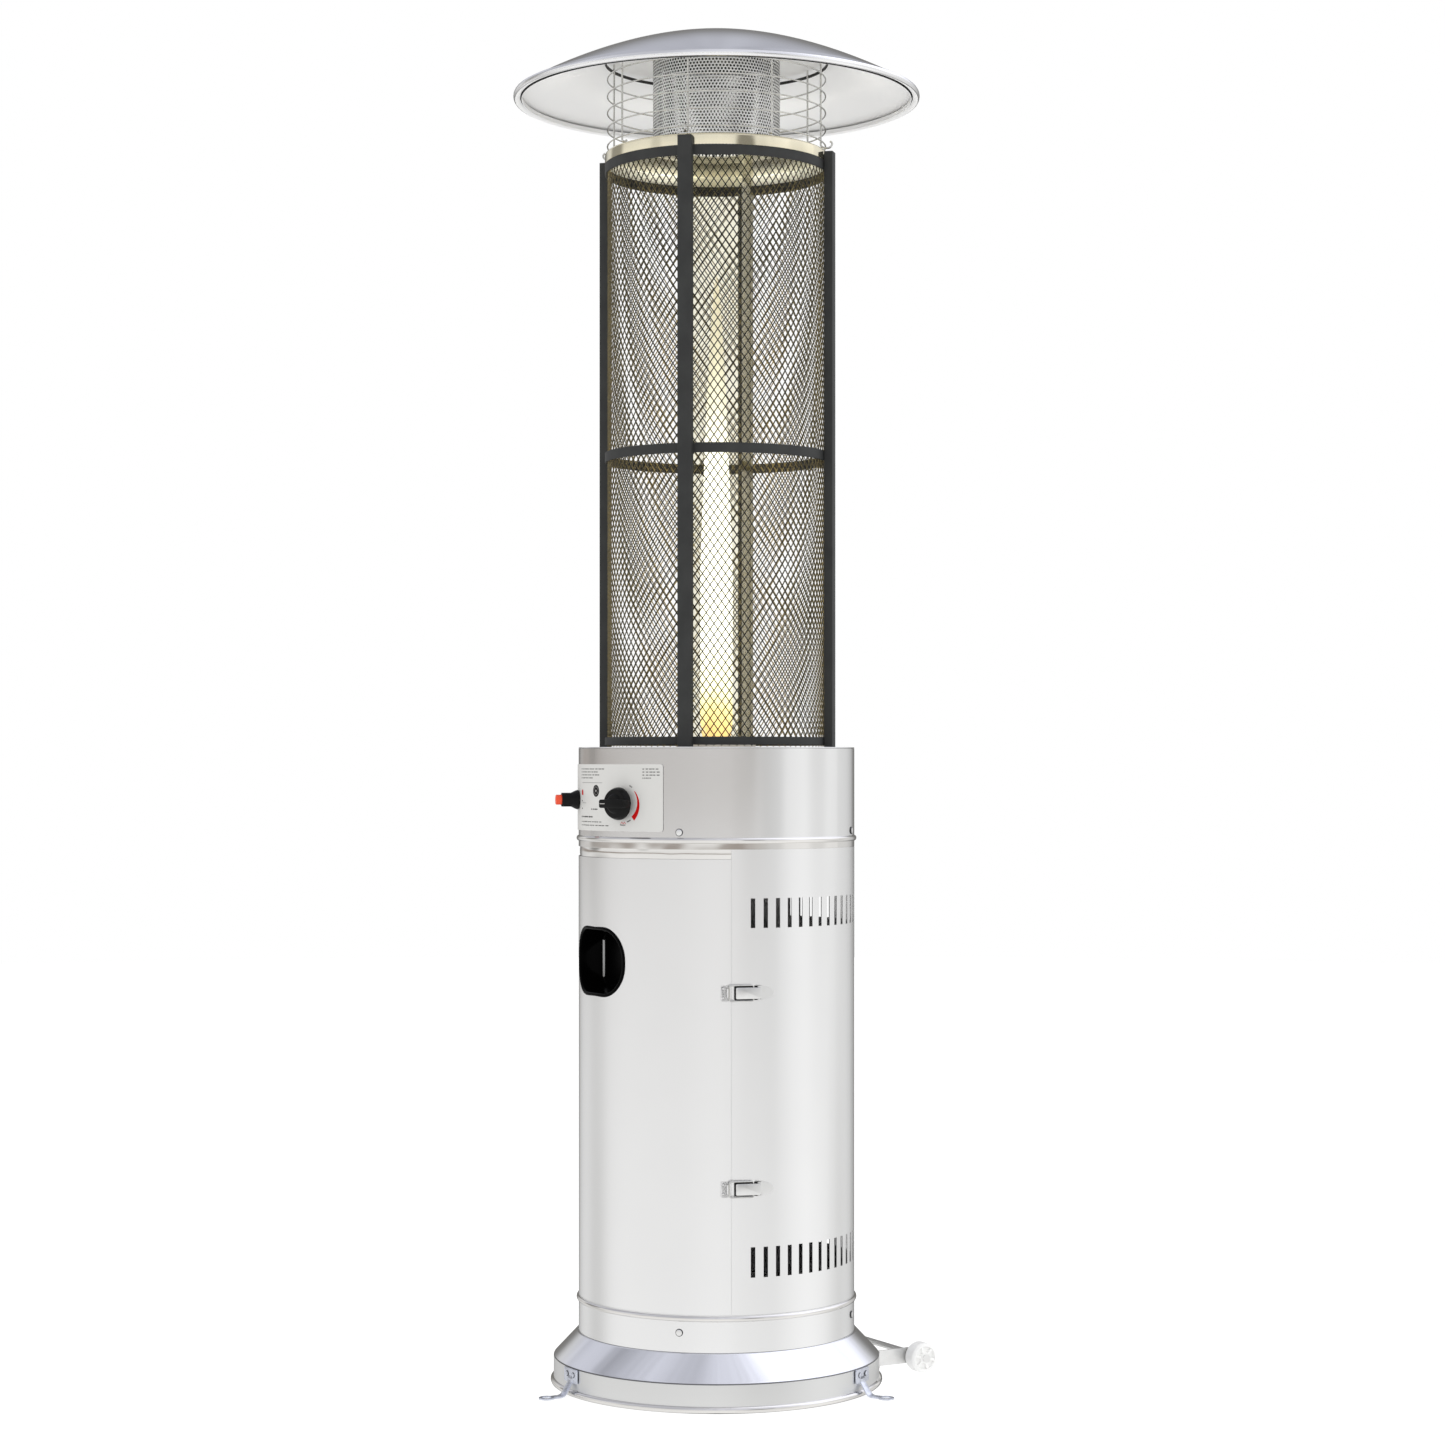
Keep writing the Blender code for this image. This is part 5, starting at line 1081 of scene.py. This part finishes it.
def build_cage():
    """Rings and uprights of wire; the uprights at the guard's posts hook over the collar."""
    rings = [[polar(CAGE_RADIUS, 3 * k, CAGE_FIRST_RING + i * CAGE_PITCH) for k in range(121)]
             for i in range(CAGE_RINGS)]
    head = dome_height(CAGE_RADIUS) - SHEET - 0.0016
    foot = COLLAR_SHOULDER_HEIGHT + CAGE_WIRE + 0.0006
    inset = CAGE_RADIUS - 2 * CAGE_WIRE
    over = [(inset, foot + 0.004), (inset + 0.001, foot + 0.0015), (inset + 0.004, foot),
            (0.1530, foot - 0.0010), (0.1570, foot + 0.0005), (0.1590, foot + 0.0035),
            (0.1585, foot + 0.0065), (0.1560, foot + 0.0080)]
    inside = [(inset, foot + 0.004), (inset - 0.001, foot + 0.0018), (inset - 0.004, foot + 0.0020),
              (inset - 0.007, foot + 0.0040)]
    uprights = []
    for angle in (360 * i / CAGE_POSTS for i in range(CAGE_POSTS)):
        hook = eased(over if angle in POST_ANGLES else inside, 0.002)
        uprights.append([polar(r, angle, z) for r, z in [(inset, head), *hook]])
    wires("cage_wires", rings + uprights, CAGE_WIRE, "emitter_cage", ring_share=CAGE_RING_SHARE)
    inner, top = CAGE_RADIUS + CAGE_WIRE + GAP, head_of("cage_hoop")
    hoop = band(inner + CAGE_HOOP_DEPTH, inner, top - CAGE_HOOP_BAND, top, 0.0006, RING_STEPS)
    piece("cage_band", hoop, BLACK_COAT, "cage_hoop")


def build_reflector():
    """The dome, its lip rolled in below, and a hem inside the lip over a dark gap of painted shade; the
    hem's outer side is painted shade too.
    """
    dome = [(DOME_RADIUS * i / DOME_RINGS, dome_height(DOME_RADIUS * i / DOME_RINGS))
            for i in range(DOME_RINGS)]
    out, drop = REFLECTOR_RADIUS - DOME_RADIUS, REFLECTOR_TOP - DOME_RISE - REFLECTOR_FOOT
    lip = [(DOME_RADIUS + out * across, REFLECTOR_FOOT + drop * up)
           for across, up in ((-0.10, 0.92), (0.10, 0.86), (0.55, 0.90), (0.85, 0.78),
                              (0.97, 0.60), (1.0, 0.42), (0.96, 0.20), (0.85, 0.05), (0.70, 0.0),
                              (0.45, 0.04), (0.05, 0.16), (-0.20, 0.26), (-0.30, 0.32),
                              (-0.40, 0.38), (-0.42, 0.44))]
    reflector = piece("dome_reflector", turned(dome + lip, DOME_STEPS),
                      (DOME_STEEL, UNDERSIDE, LIP_STEEL, SHADE_BLACK), "reflector",
                      [wall(SHEET, material_offset=1)])

    def across(face):
        return (face.center.xy.length - DOME_RADIUS) / out

    def up(face):
        return (face.center.z - REFLECTOR_FOOT) / drop

    paint(reflector, LIP_STEEL, lambda face: across(face) > 0.05 and up(face) > 0.02)
    paint(reflector, UNDERSIDE, lambda face: face.normal.z < -0.5 and across(face) < 0.60)
    # Painted shade: the lip's faces behind the hem are dark
    paint(reflector, SHADE_BLACK, lambda face:
          -0.41 < across(face) < -0.20 and up(face) < 0.40 and face.normal.z < 0)
    outer = DOME_RADIUS - out * 0.42
    ring = band(outer, outer - DOME_HEM, REFLECTOR_FOOT + drop * 0.06, REFLECTOR_FOOT + drop * 0.60,
                steps=DOME_STEPS)
    hem = piece("reflector_hem", ring, (UNDERSIDE, SHADE_BLACK))
    # Painted shade on the hem's outer side, a dark line inside the lip
    paint(hem, SHADE_BLACK, lambda face: outwards(face) > 0.5)


# Screws, feet and wheels

def screw_head(radius, rise):
    """A pan head with a cross recess, standing along Z, as a mesh to copy; its outer rim and recess
    take painted shade.
    """
    line = [(radius * sin(radians(9 * i)), rise * cos(radians(9 * i)) ** 0.7) for i in range(10)]
    shape = turned([*line, (radius, -rise * 0.25), (0, -rise * 0.25)], 40)
    arm, half, depth = radius * 1.6 * 0.42, radius * 1.6 * 0.11, rise * 0.6
    cross = joined(block((-arm, -half, -depth), (arm, half, depth)),
                   block((-half, -arm, -depth), (half, arm, depth)))
    obj = linked("screw", as_mesh("screw", shape))
    worked(obj, [cutting(moved(cross, shift(0, 0, rise)))])
    made = obj.data
    bpy.data.objects.remove(obj)
    # Outer rim and cross recess take the second material: painted shade outlines
    for face in made.polygons:
        share = face.center.xy.length / radius
        crown = rise * sqrt(max(0.0, 1 - share ** 2)) ** 0.7
        face.material_index = int(share > 0.82 or face.center.z < crown * 0.93)
    return made


def screws(name, head, places, body="root", finish=PALE_ZINC):
    """Copies of a screw head, each place a (radius, angle, height, turn)."""
    copies = []
    for radius, angle, height, turn in places:
        copy = bmesh.new()
        copy.from_mesh(head)
        copies.append(aimed(moved(copy, spin(turn)), radius, angle, height))
    piece(name, joined(*copies), (finish, EDGE_SHADE_STEEL), body=body)


def build_screws():
    pan, small = screw_head(*PAN_HEAD), screw_head(*SMALL_HEAD)
    for name, height, side in (("housing", HOUSING_SCREW_HEIGHT, 1), ("lower", LOWER_SCREW_HEIGHT, -1)):
        screws(name + "_screws", pan, [(BODY_RADIUS, angle, height, side * turn)
                                       for angle, turn in zip(SCREW_ANGLES, SCREW_TURNS)])
    face = BAND_RADIUS + GAP + ANCHOR_SHEET
    step = degrees(ANCHOR_SCREW_STEP / face)
    middle = (BAND_TOP + ANCHOR_PLATE_BOTTOM) / 2 + 0.0015
    for number, angle in enumerate(ANCHOR_ANGLES, 1):
        screws("anchor_screws_%d" % number, small,
               [(face / cos(radians(step)) - 0.0004, angle + side * step, middle, 25 * side)
                for side in (-1, 1)], finish=ZINC)


def ribbon(line, half_width, thickness):
    """A strap of even thickness along a line of (out, height) points, facing the front."""
    shape = bmesh.new()
    rows = []
    for i, (out, up) in enumerate(line):
        along = (line[min(i + 1, len(line) - 1)] - line[max(i - 1, 0)]).normalized()
        side = Vector((-along.y, along.x)) * thickness / 2
        rows.append([shape.verts.new((x * half_width, -(out + s * side.x), up + s * side.y))
                     for x, s in ((-1, -1), (1, -1), (1, 1), (-1, 1))])
    strips(shape, rows)
    shape.faces.new(rows[0][::-1])
    shape.faces.new(rows[-1])
    bmesh.ops.recalc_face_normals(shape, faces=shape.faces)
    return shape


def build_anchors():
    back, half = BAND_RADIUS + GAP, ANCHOR_SHEET / 2
    middle, half_height = (BAND_TOP + ANCHOR_PLATE_BOTTOM) / 2, (BAND_TOP - ANCHOR_PLATE_BOTTOM) / 2
    route = eased([(back + half, middle), (back + half, ANCHOR_PLATE_BOTTOM + 0.002),
                   (ANCHOR_TOE, half), (ANCHOR_EYE_PLACE - ANCHOR_BORE - 0.0012, half)], 0.006, 6)
    for number, angle in enumerate(ANCHOR_ANGLES, 1):
        plate = prism(rounded(ANCHOR_PLATE_WIDTH / 2, half_height, 0.0022), 0, ANCHOR_SHEET)
        moved(plate, shift(0, -back, middle) @ spin(90, 'X'))
        strap = ribbon(route, ANCHOR_STRAP / 2, ANCHOR_SHEET)
        eye = band(ANCHOR_EYE, ANCHOR_BORE, 0, ANCHOR_SHEET, steps=48)
        moved(eye, shift(0, -ANCHOR_EYE_PLACE, 0))
        piece("anchor_%d" % number, moved(joined(plate, strap, eye), spin(angle)), ZINC,
              "anchor_foot_%d" % number, [edges(0.0005, 2)])


def wheel_shape():
    """Tyre, web, spokes and hub about Z."""
    half, hub = WHEEL_WIDTH / 2, WHEEL_HUB_WIDTH / 2
    rim, web = WHEEL_RADIUS - 0.0052, WHEEL_WIDTH / 2 - 0.0035
    line = [(AXLE_BORE, hub), (0.0062, hub), (0.0072, half - 0.0008), (0.0074, web), (rim, web),
            (rim + 0.0006, half), (WHEEL_RADIUS - 0.0030, half), (WHEEL_RADIUS, half - 0.0030)]
    line += [(r, -z) for r, z in reversed(line)]
    parts = [turned(eased(line, 0.0010, closed=True), 72, closed=True)]
    for k in range(WHEEL_SPOKES):
        for side in (-1, 1):
            low, high = sorted((side * (web - 0.001), side * (half - 0.0006)))
            spoke = block((0.0066, -0.0016, low), (rim + 0.0004, 0.0016, high))
            parts.append(moved(spoke, spin(360 * k / WHEEL_SPOKES)))
    return joined(*parts)


def build_wheels():
    for name, side in (("left", -1), ("right", 1)):
        stand = shift(side * WHEEL_CENTRE, AXLE_PLACE, AXLE_HEIGHT) @ spin(90, 'Y') @ spin(17)
        piece("castor_" + name, moved(wheel_shape(), stand), WHITE_PLASTIC,
              "wheel_" + name, (), name + "_wheel", 40)


# Latches

def edge_face(face):
    """True for a face that looks along the skin or up and down, not out from it; the latches give such
    faces painted shade, as dark outlines.
    """
    return abs(outwards(face)) < 0.45


class Latch:
    """One toggle latch, in its own frame: along the skin away from the door, out and up."""

    def __init__(self, name, side, height):
        self.name = name
        self.side = side
        self.height = height

    def at(self, along, out, up):
        spot = Vector((self.side * along, -(BODY_RADIUS + out), self.height + up))
        return spin(self.side * LATCH_ANGLE) @ spot

    def placed(self, shape, order=(0, 1, 2)):
        """Moves a shape to the latch; order tells which of its axes go along, out and up."""
        for vert in shape.verts:
            vert.co = self.at(*(vert.co[axis] for axis in order))
        bmesh.ops.recalc_face_normals(shape, faces=shape.faces)
        return shape

    def sheet(self, outline, lift):
        """A sheet over the skin from an outline of (along, up) points, facing outwards."""
        line = [(self.side * along, up + self.height) for along, up in outline]
        return wrap(flat([line[::self.side]], 0.003), BODY_RADIUS + lift, self.side * LATCH_ANGLE)

    def stamped(self, corners):
        """The face of a stamped plate on the skin, with eased corners."""
        return self.sheet(eased(corners, 0.0016, 3, closed=True), LATCH_SHEET + GAP)

    def build_base(self):
        """A tongue on the shell with a dark bed of painted shade, two ears and the lever's pin."""
        high = LATCH_HALF_HEIGHT
        tongue = [(0.0110, -high), (0.0170, -high), (0.0290, -high * 0.62), (0.0318, -high * 0.45),
                  (0.0328, 0.0), (0.0318, high * 0.45), (0.0290, high * 0.62), (0.0170, high),
                  (0.0110, high)]
        bed = [(x + LATCH_BED_END - LATCH_BED / 2, y)
               for x, y in rounded(LATCH_BED / 2, high - 0.0003, 0.0020)]
        # A dark sheet of painted shade under the lever
        piece(self.name + "_shade_bed", self.sheet(bed, LATCH_BED_SHEET * 2), SHADE_BLACK,
              steps=[wall(LATCH_BED_SHEET)])
        ear = eased([(0.0088, 0.0006), (0.0162, 0.0006), (0.0152, 0.0050), (0.0138, 0.0068),
                     (0.0112, 0.0068), (0.0098, 0.0050)], 0.0010, 3, closed=True)
        near, far = LEVER_HALF_HEIGHT + GAP, LEVER_HALF_HEIGHT + 0.0014
        ears = [self.placed(prism(ear, *ends)) for ends in ((-far, -near), (near, far))]
        pin = prism(circle(BAIL_WIRE, 20, PIVOT_ALONG, PIVOT_OUT), -LEVER_HALF_HEIGHT - 0.0018,
                    LEVER_HALF_HEIGHT + 0.0018)
        plate = self.stamped(tongue)
        plate.normal_update()
        bmesh.ops.solidify(plate, geom=plate.faces[:], thickness=LATCH_SHEET)
        base = piece(self.name + "_plate", joined(plate, *ears, self.placed(pin)),
                     (PALE_ZINC, EDGE_SHADE_STEEL), self.name + "_base")
        # Side faces painted dark: painted shade as outlines
        paint(base, EDGE_SHADE_STEEL, edge_face)

    def build_lever(self):
        outline = rounded((LEVER_HEEL - LEVER_TIP) / 2, LEVER_HALF_HEIGHT, 0.0018)
        lever = prism(outline, PIVOT_OUT - 0.0016, PIVOT_OUT + 0.0018)
        moved(lever, shift((LEVER_HEEL + LEVER_TIP) / 2, 0, 0))
        arm = piece(self.name + "_arm", self.placed(lever, (0, 2, 1)), (PALE_ZINC, EDGE_SHADE_STEEL),
                    self.name + "_lever", [edges(0.0005, 2)], self.name + "_lever_body")
        # Side faces painted dark: painted shade as outlines
        paint(arm, EDGE_SHADE_STEEL, edge_face)

    def build_bail(self):
        high = BAIL_HALF_HEIGHT
        path = [(BAIL_ALONG, 0.0055), (BAIL_ALONG, high), (-BAIL_REACH, high), (-BAIL_REACH, -high),
                (BAIL_ALONG, -high), (BAIL_ALONG, -0.0055)]
        line = [self.at(along, PIVOT_OUT, up) for along, up in eased(path, 0.0034, 6)]
        wires(self.name + "_wire", [line], BAIL_WIRE, self.name + "_bail", self.name + "_bail_body")

    def build_keeper(self, rivet):
        """A riveted plate on the door with the tooth that the bail pulls on.

        The plate keeps the normals of its flat sheet, so it is thickened downwards.
        """
        (left, right), high = KEEPER_SPAN, LATCH_HALF_HEIGHT
        keeper = self.stamped([(left, -high), (right, -high), (right, high), (left, high)])
        bmesh.ops.solidify(keeper, geom=keeper.faces[:], thickness=LATCH_SHEET)
        tooth = prism([(-0.0295, 0.0010), (-0.0270, 0.0010), (-0.0270, 0.0034), (-0.0280, 0.0036),
                       (-0.0295, 0.0028)], -0.006, 0.006)
        piece(self.name + "_catch", joined(keeper, self.placed(tooth)), STEEL,
              self.name + "_keeper", body="door")
        angle = self.side * (LATCH_ANGLE + degrees(RIVET_ALONG / BODY_RADIUS))
        places = [(BODY_RADIUS + GAP + LATCH_SHEET, angle, self.height + up, 0)
                  for up in (-0.0060, 0.0060)]
        screws(self.name + "_rivets", rivet, places, "door")


def build_latches():
    rivet = screw_head(*RIVET_HEAD)
    for side_name, side in (("left", -1), ("right", 1)):
        for level, height in LATCH_HEIGHTS.items():
            latch = Latch("latch_%s_%s" % (side_name, level), side, height)
            latch.build_base()
            latch.build_lever()
            latch.build_bail()
            latch.build_keeper(rivet)


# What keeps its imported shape

def finish_kept_nodes():
    kept = {"gas_valve": BRASS, "valve_spindle": BRASS, "burner_pipe": ALUMINIUM,
            "burner_cup": GALVANISED, "pilot_burner": BRASS, "flame_probe": CERAMIC,
            "tilt_switch": BLACK_PLASTIC, "glass_seat": CERAMIC, "base_plate": GALVANISED,
            "wheel_axle": PALE_ZINC, "wheel_bracket": PALE_ZINC}
    for name, finish in kept.items():
        materials = NODES[name].data.materials
        materials.clear()
        materials.append(finish)


# Light, ground and camera

BACKDROP = (1.0, 1.0, 1.0, 1.0)
AMBIENT = grey(0.92)
# Levels of the room round the heater, as (direction, level)
SIDE_BANDS = ((-180, 0.88), (-162, 0.78), (-150, 0.60), (-140, 0.32), (-128, 0.10), (-112, 0.10),
              (-104, 0.38), (-95, 0.66), (-83, 0.79), (-66, 0.89), (-20, 0.97), (20, 0.955),
              (34, 0.96), (52, 1.00), (72, 1.01), (76, 0.955), (108, 0.935), (122, 0.975),
              (140, 1.06), (160, 1.00))
CEILING_BANDS = ((-180, 1.30), (-156, 1.20), (-146, 0.60), (-120, 0.52), (-100, 0.50), (-84, 0.64),
                 (-69, 0.72), (-56, 0.42), (-42, 0.58), (-26, 0.74), (0, 0.60), (24, 0.58),
                 (60, 0.78), (108, 0.84), (128, 1.10), (140, 1.40), (176, 1.40))
HAZE = (1.00, 1.00, 1.00)
SKY = (0.96, 0.975, 1.07)
# Dark corners of the room, as (direction, rise of the ray, radius, soft edge, strength)
DARK_SPOTS = ((-120, 0.14, 0.26, 0.26, 0.90), (90, 0.21, 0.12, 0.09, 0.90),
              (-66, 0.21, 0.14, 0.14, 0.80), (-5, 0.21, 0.05, 0.10, 0.30),
              (107, 0.05, 0.10, 0.16, 0.24), (152, 0.14, 0.12, 0.20, 0.18),
              (-58, -0.30, 0.06, 0.34, 0.42), (178, -0.30, 0.06, 0.30, 0.34))
DARK_ROOM = (0.20, 0.195, 0.185, 1.0)
BROWN_LINE = (0.27, 0.225, 0.19, 1.0)


def banded(tree, share, bands, tint):
    """A ramp of (direction, level) pairs that runs once round from behind."""
    return tree.ramp(share, [((angle + 180) / 360, [level * part for part in tint])
                             for angle, level in bands])


def build_world():
    """White for the camera, a soft room of pale bands for what reflects, even light for the rest."""
    world = bpy.data.worlds.new("Studio")
    bpy.context.scene.world = world
    tree = Tree(world)
    way = tree.node('TexCoord').outputs['Generated']
    x, y, z = tree.node('SeparateXYZ', {0: way}).outputs
    share = tree.sum('ADD', tree.sum('DIVIDE', tree.turn(x, y), tau), 0.5)
    sides = banded(tree, share, SIDE_BANDS, HAZE)
    ceiling = banded(tree, share, CEILING_BANDS, SKY)
    streak = tree.noise(tree.first('CombineXYZ', {0: share}), 70.0, 2.0)
    streaks = tree.ramp(streak, ((0.30, grey(0.86)), (0.70, grey(1.12))))
    ceiling = tree.blend(1.0, ceiling, streaks, 'MULTIPLY')
    room = tree.blend(tree.spread(z, 0.16, 0.44), sides, ceiling)
    height = tree.sum('ABSOLUTE', tree.sum('SUBTRACT', z, 0.03))
    dim = tree.sum('MULTIPLY', tree.spread(height, 0.03, 0.16, 1.0, 0.0), 0.07)
    room = tree.blend(dim, room, grey(0.05))
    line = tree.sum('SUBTRACT', 1.0, tree.spread(tree.sum('ABSOLUTE', z), 0.010, 0.040))
    front = tree.spread(tree.sum('ABSOLUTE', tree.sum('SUBTRACT', share, 0.5)), 0.22, 0.32, 1.0, 0.0)
    room = tree.blend(tree.sum('MULTIPLY', tree.sum('MULTIPLY', line, front), 0.80), room, BROWN_LINE)
    for direction, rise, radius, edge, strength in DARK_SPOTS:
        centre = polar(sqrt(1 - rise ** 2), direction, rise)
        away = tree.node('VectorMath', {0: way, 1: centre}, operation='DISTANCE').outputs['Value']
        room = tree.blend(tree.spread(away, radius, radius + edge, strength, 0.0), room, DARK_ROOM)
    path = tree.node('LightPath').outputs
    shiny = tree.blend(path['Is Glossy Ray'], AMBIENT, room)
    seen = tree.sum('ADD', path['Is Camera Ray'], path['Is Transmission Ray'], clamp=True)
    colour = tree.blend(seen, shiny, BACKDROP)
    tree.show(tree.first('Background', {'Color': colour, 'Strength': 1.0}), 'World')


def build_floor():
    shape = bmesh.new()
    bmesh.ops.create_circle(shape, cap_ends=True, segments=96, radius=9.0)
    floor = linked("floor", as_mesh("floor", shape))
    floor.location.z = -0.0005
    material = bpy.data.materials.new("floor")
    tree = Tree(material)
    seen = tree.node('LightPath').outputs['Is Camera Ray']
    strength = tree.spread(seen, 0.0, 1.0, 0.69, 0.80)
    glow = tree.first('Emission', {'Color': BACKDROP, 'Strength': strength})
    lit = tree.first('BsdfDiffuse', {'Color': grey(0.45)})
    tree.show(tree.first('AddShader', {0: lit, 1: glow}))
    floor.data.materials.append(material)
    floor.visible_glossy = False


def lamp(name, place, target, width, power, height=0.0, colour=(1.0, 1.0, 1.0), spread=180.0):
    data = bpy.data.lights.new(name, 'AREA')
    data.shape = 'RECTANGLE' if height else 'SQUARE'
    data.size = width
    data.size_y = height or width
    data.energy = power
    data.color = colour
    data.spread = radians(spread)
    obj = linked(name, data)
    obj.location = place
    obj.rotation_euler = (Vector(target) - Vector(place)).to_track_quat('-Z', 'Y').to_euler()
    obj.visible_camera = False
    obj.visible_glossy = False
    obj.visible_transmission = False


def build_lamps():
    middle = (0, 0, 0.9)
    lamp("key", polar(3.2, 128, 3.0), middle, 2.2, 26.0)
    lamp("fill", polar(3.4, 5, 2.0), middle, 2.4, 12.0)
    height = (DECK_TOP + FLAME_TIP) / 2
    for angle in range(30, 390, 60):
        lamp("flame_side_%d" % angle, polar(GLASS_RADIUS + 0.006, angle, height),
             polar(1.0, angle, height), 0.03, 0.15, FLAME_TIP - DECK_TOP, (1.0, 0.80, 0.46), 80.0)
        under = polar((GLASS_RADIUS + HOOP_RADIUS) / 2, angle, COLLAR_FOOT - 0.10)
        lamp("collar_glow_%d" % angle, under, under + Vector((0, 0, 1)), 0.06, 0.12,
             colour=(1.0, 0.97, 0.86), spread=60.0)


def look_through_camera():
    data = bpy.data.cameras.new("Camera")
    data.lens = LENS
    data.sensor_width = SENSOR
    data.shift_x = AXIS_LEFT_OF_MIDDLE / FRAME_SIDE
    data.shift_y = HORIZON_UNDER_MIDDLE / FRAME_SIDE
    camera = linked("Camera", data)
    camera.location = polar(CAMERA_REACH, CAMERA_ANGLE, CAMERA_HEIGHT)
    camera.rotation_euler = (radians(90), 0, radians(CAMERA_ANGLE))
    bpy.context.scene.camera = camera


for step in (look_through_camera, build_world, build_floor, build_lamps, build_base,
             build_lower_ring, build_shell, build_door, build_handle, build_housing, build_label,
             build_print, build_knob, build_igniter, build_tube, build_flame, build_posts,
             build_hoops, build_nets, build_collar, build_emitter, build_cage, build_reflector,
             build_screws, build_anchors, build_wheels, build_latches, finish_kept_nodes):
    step()
bpy.context.scene.view_settings.view_transform = 'Standard'
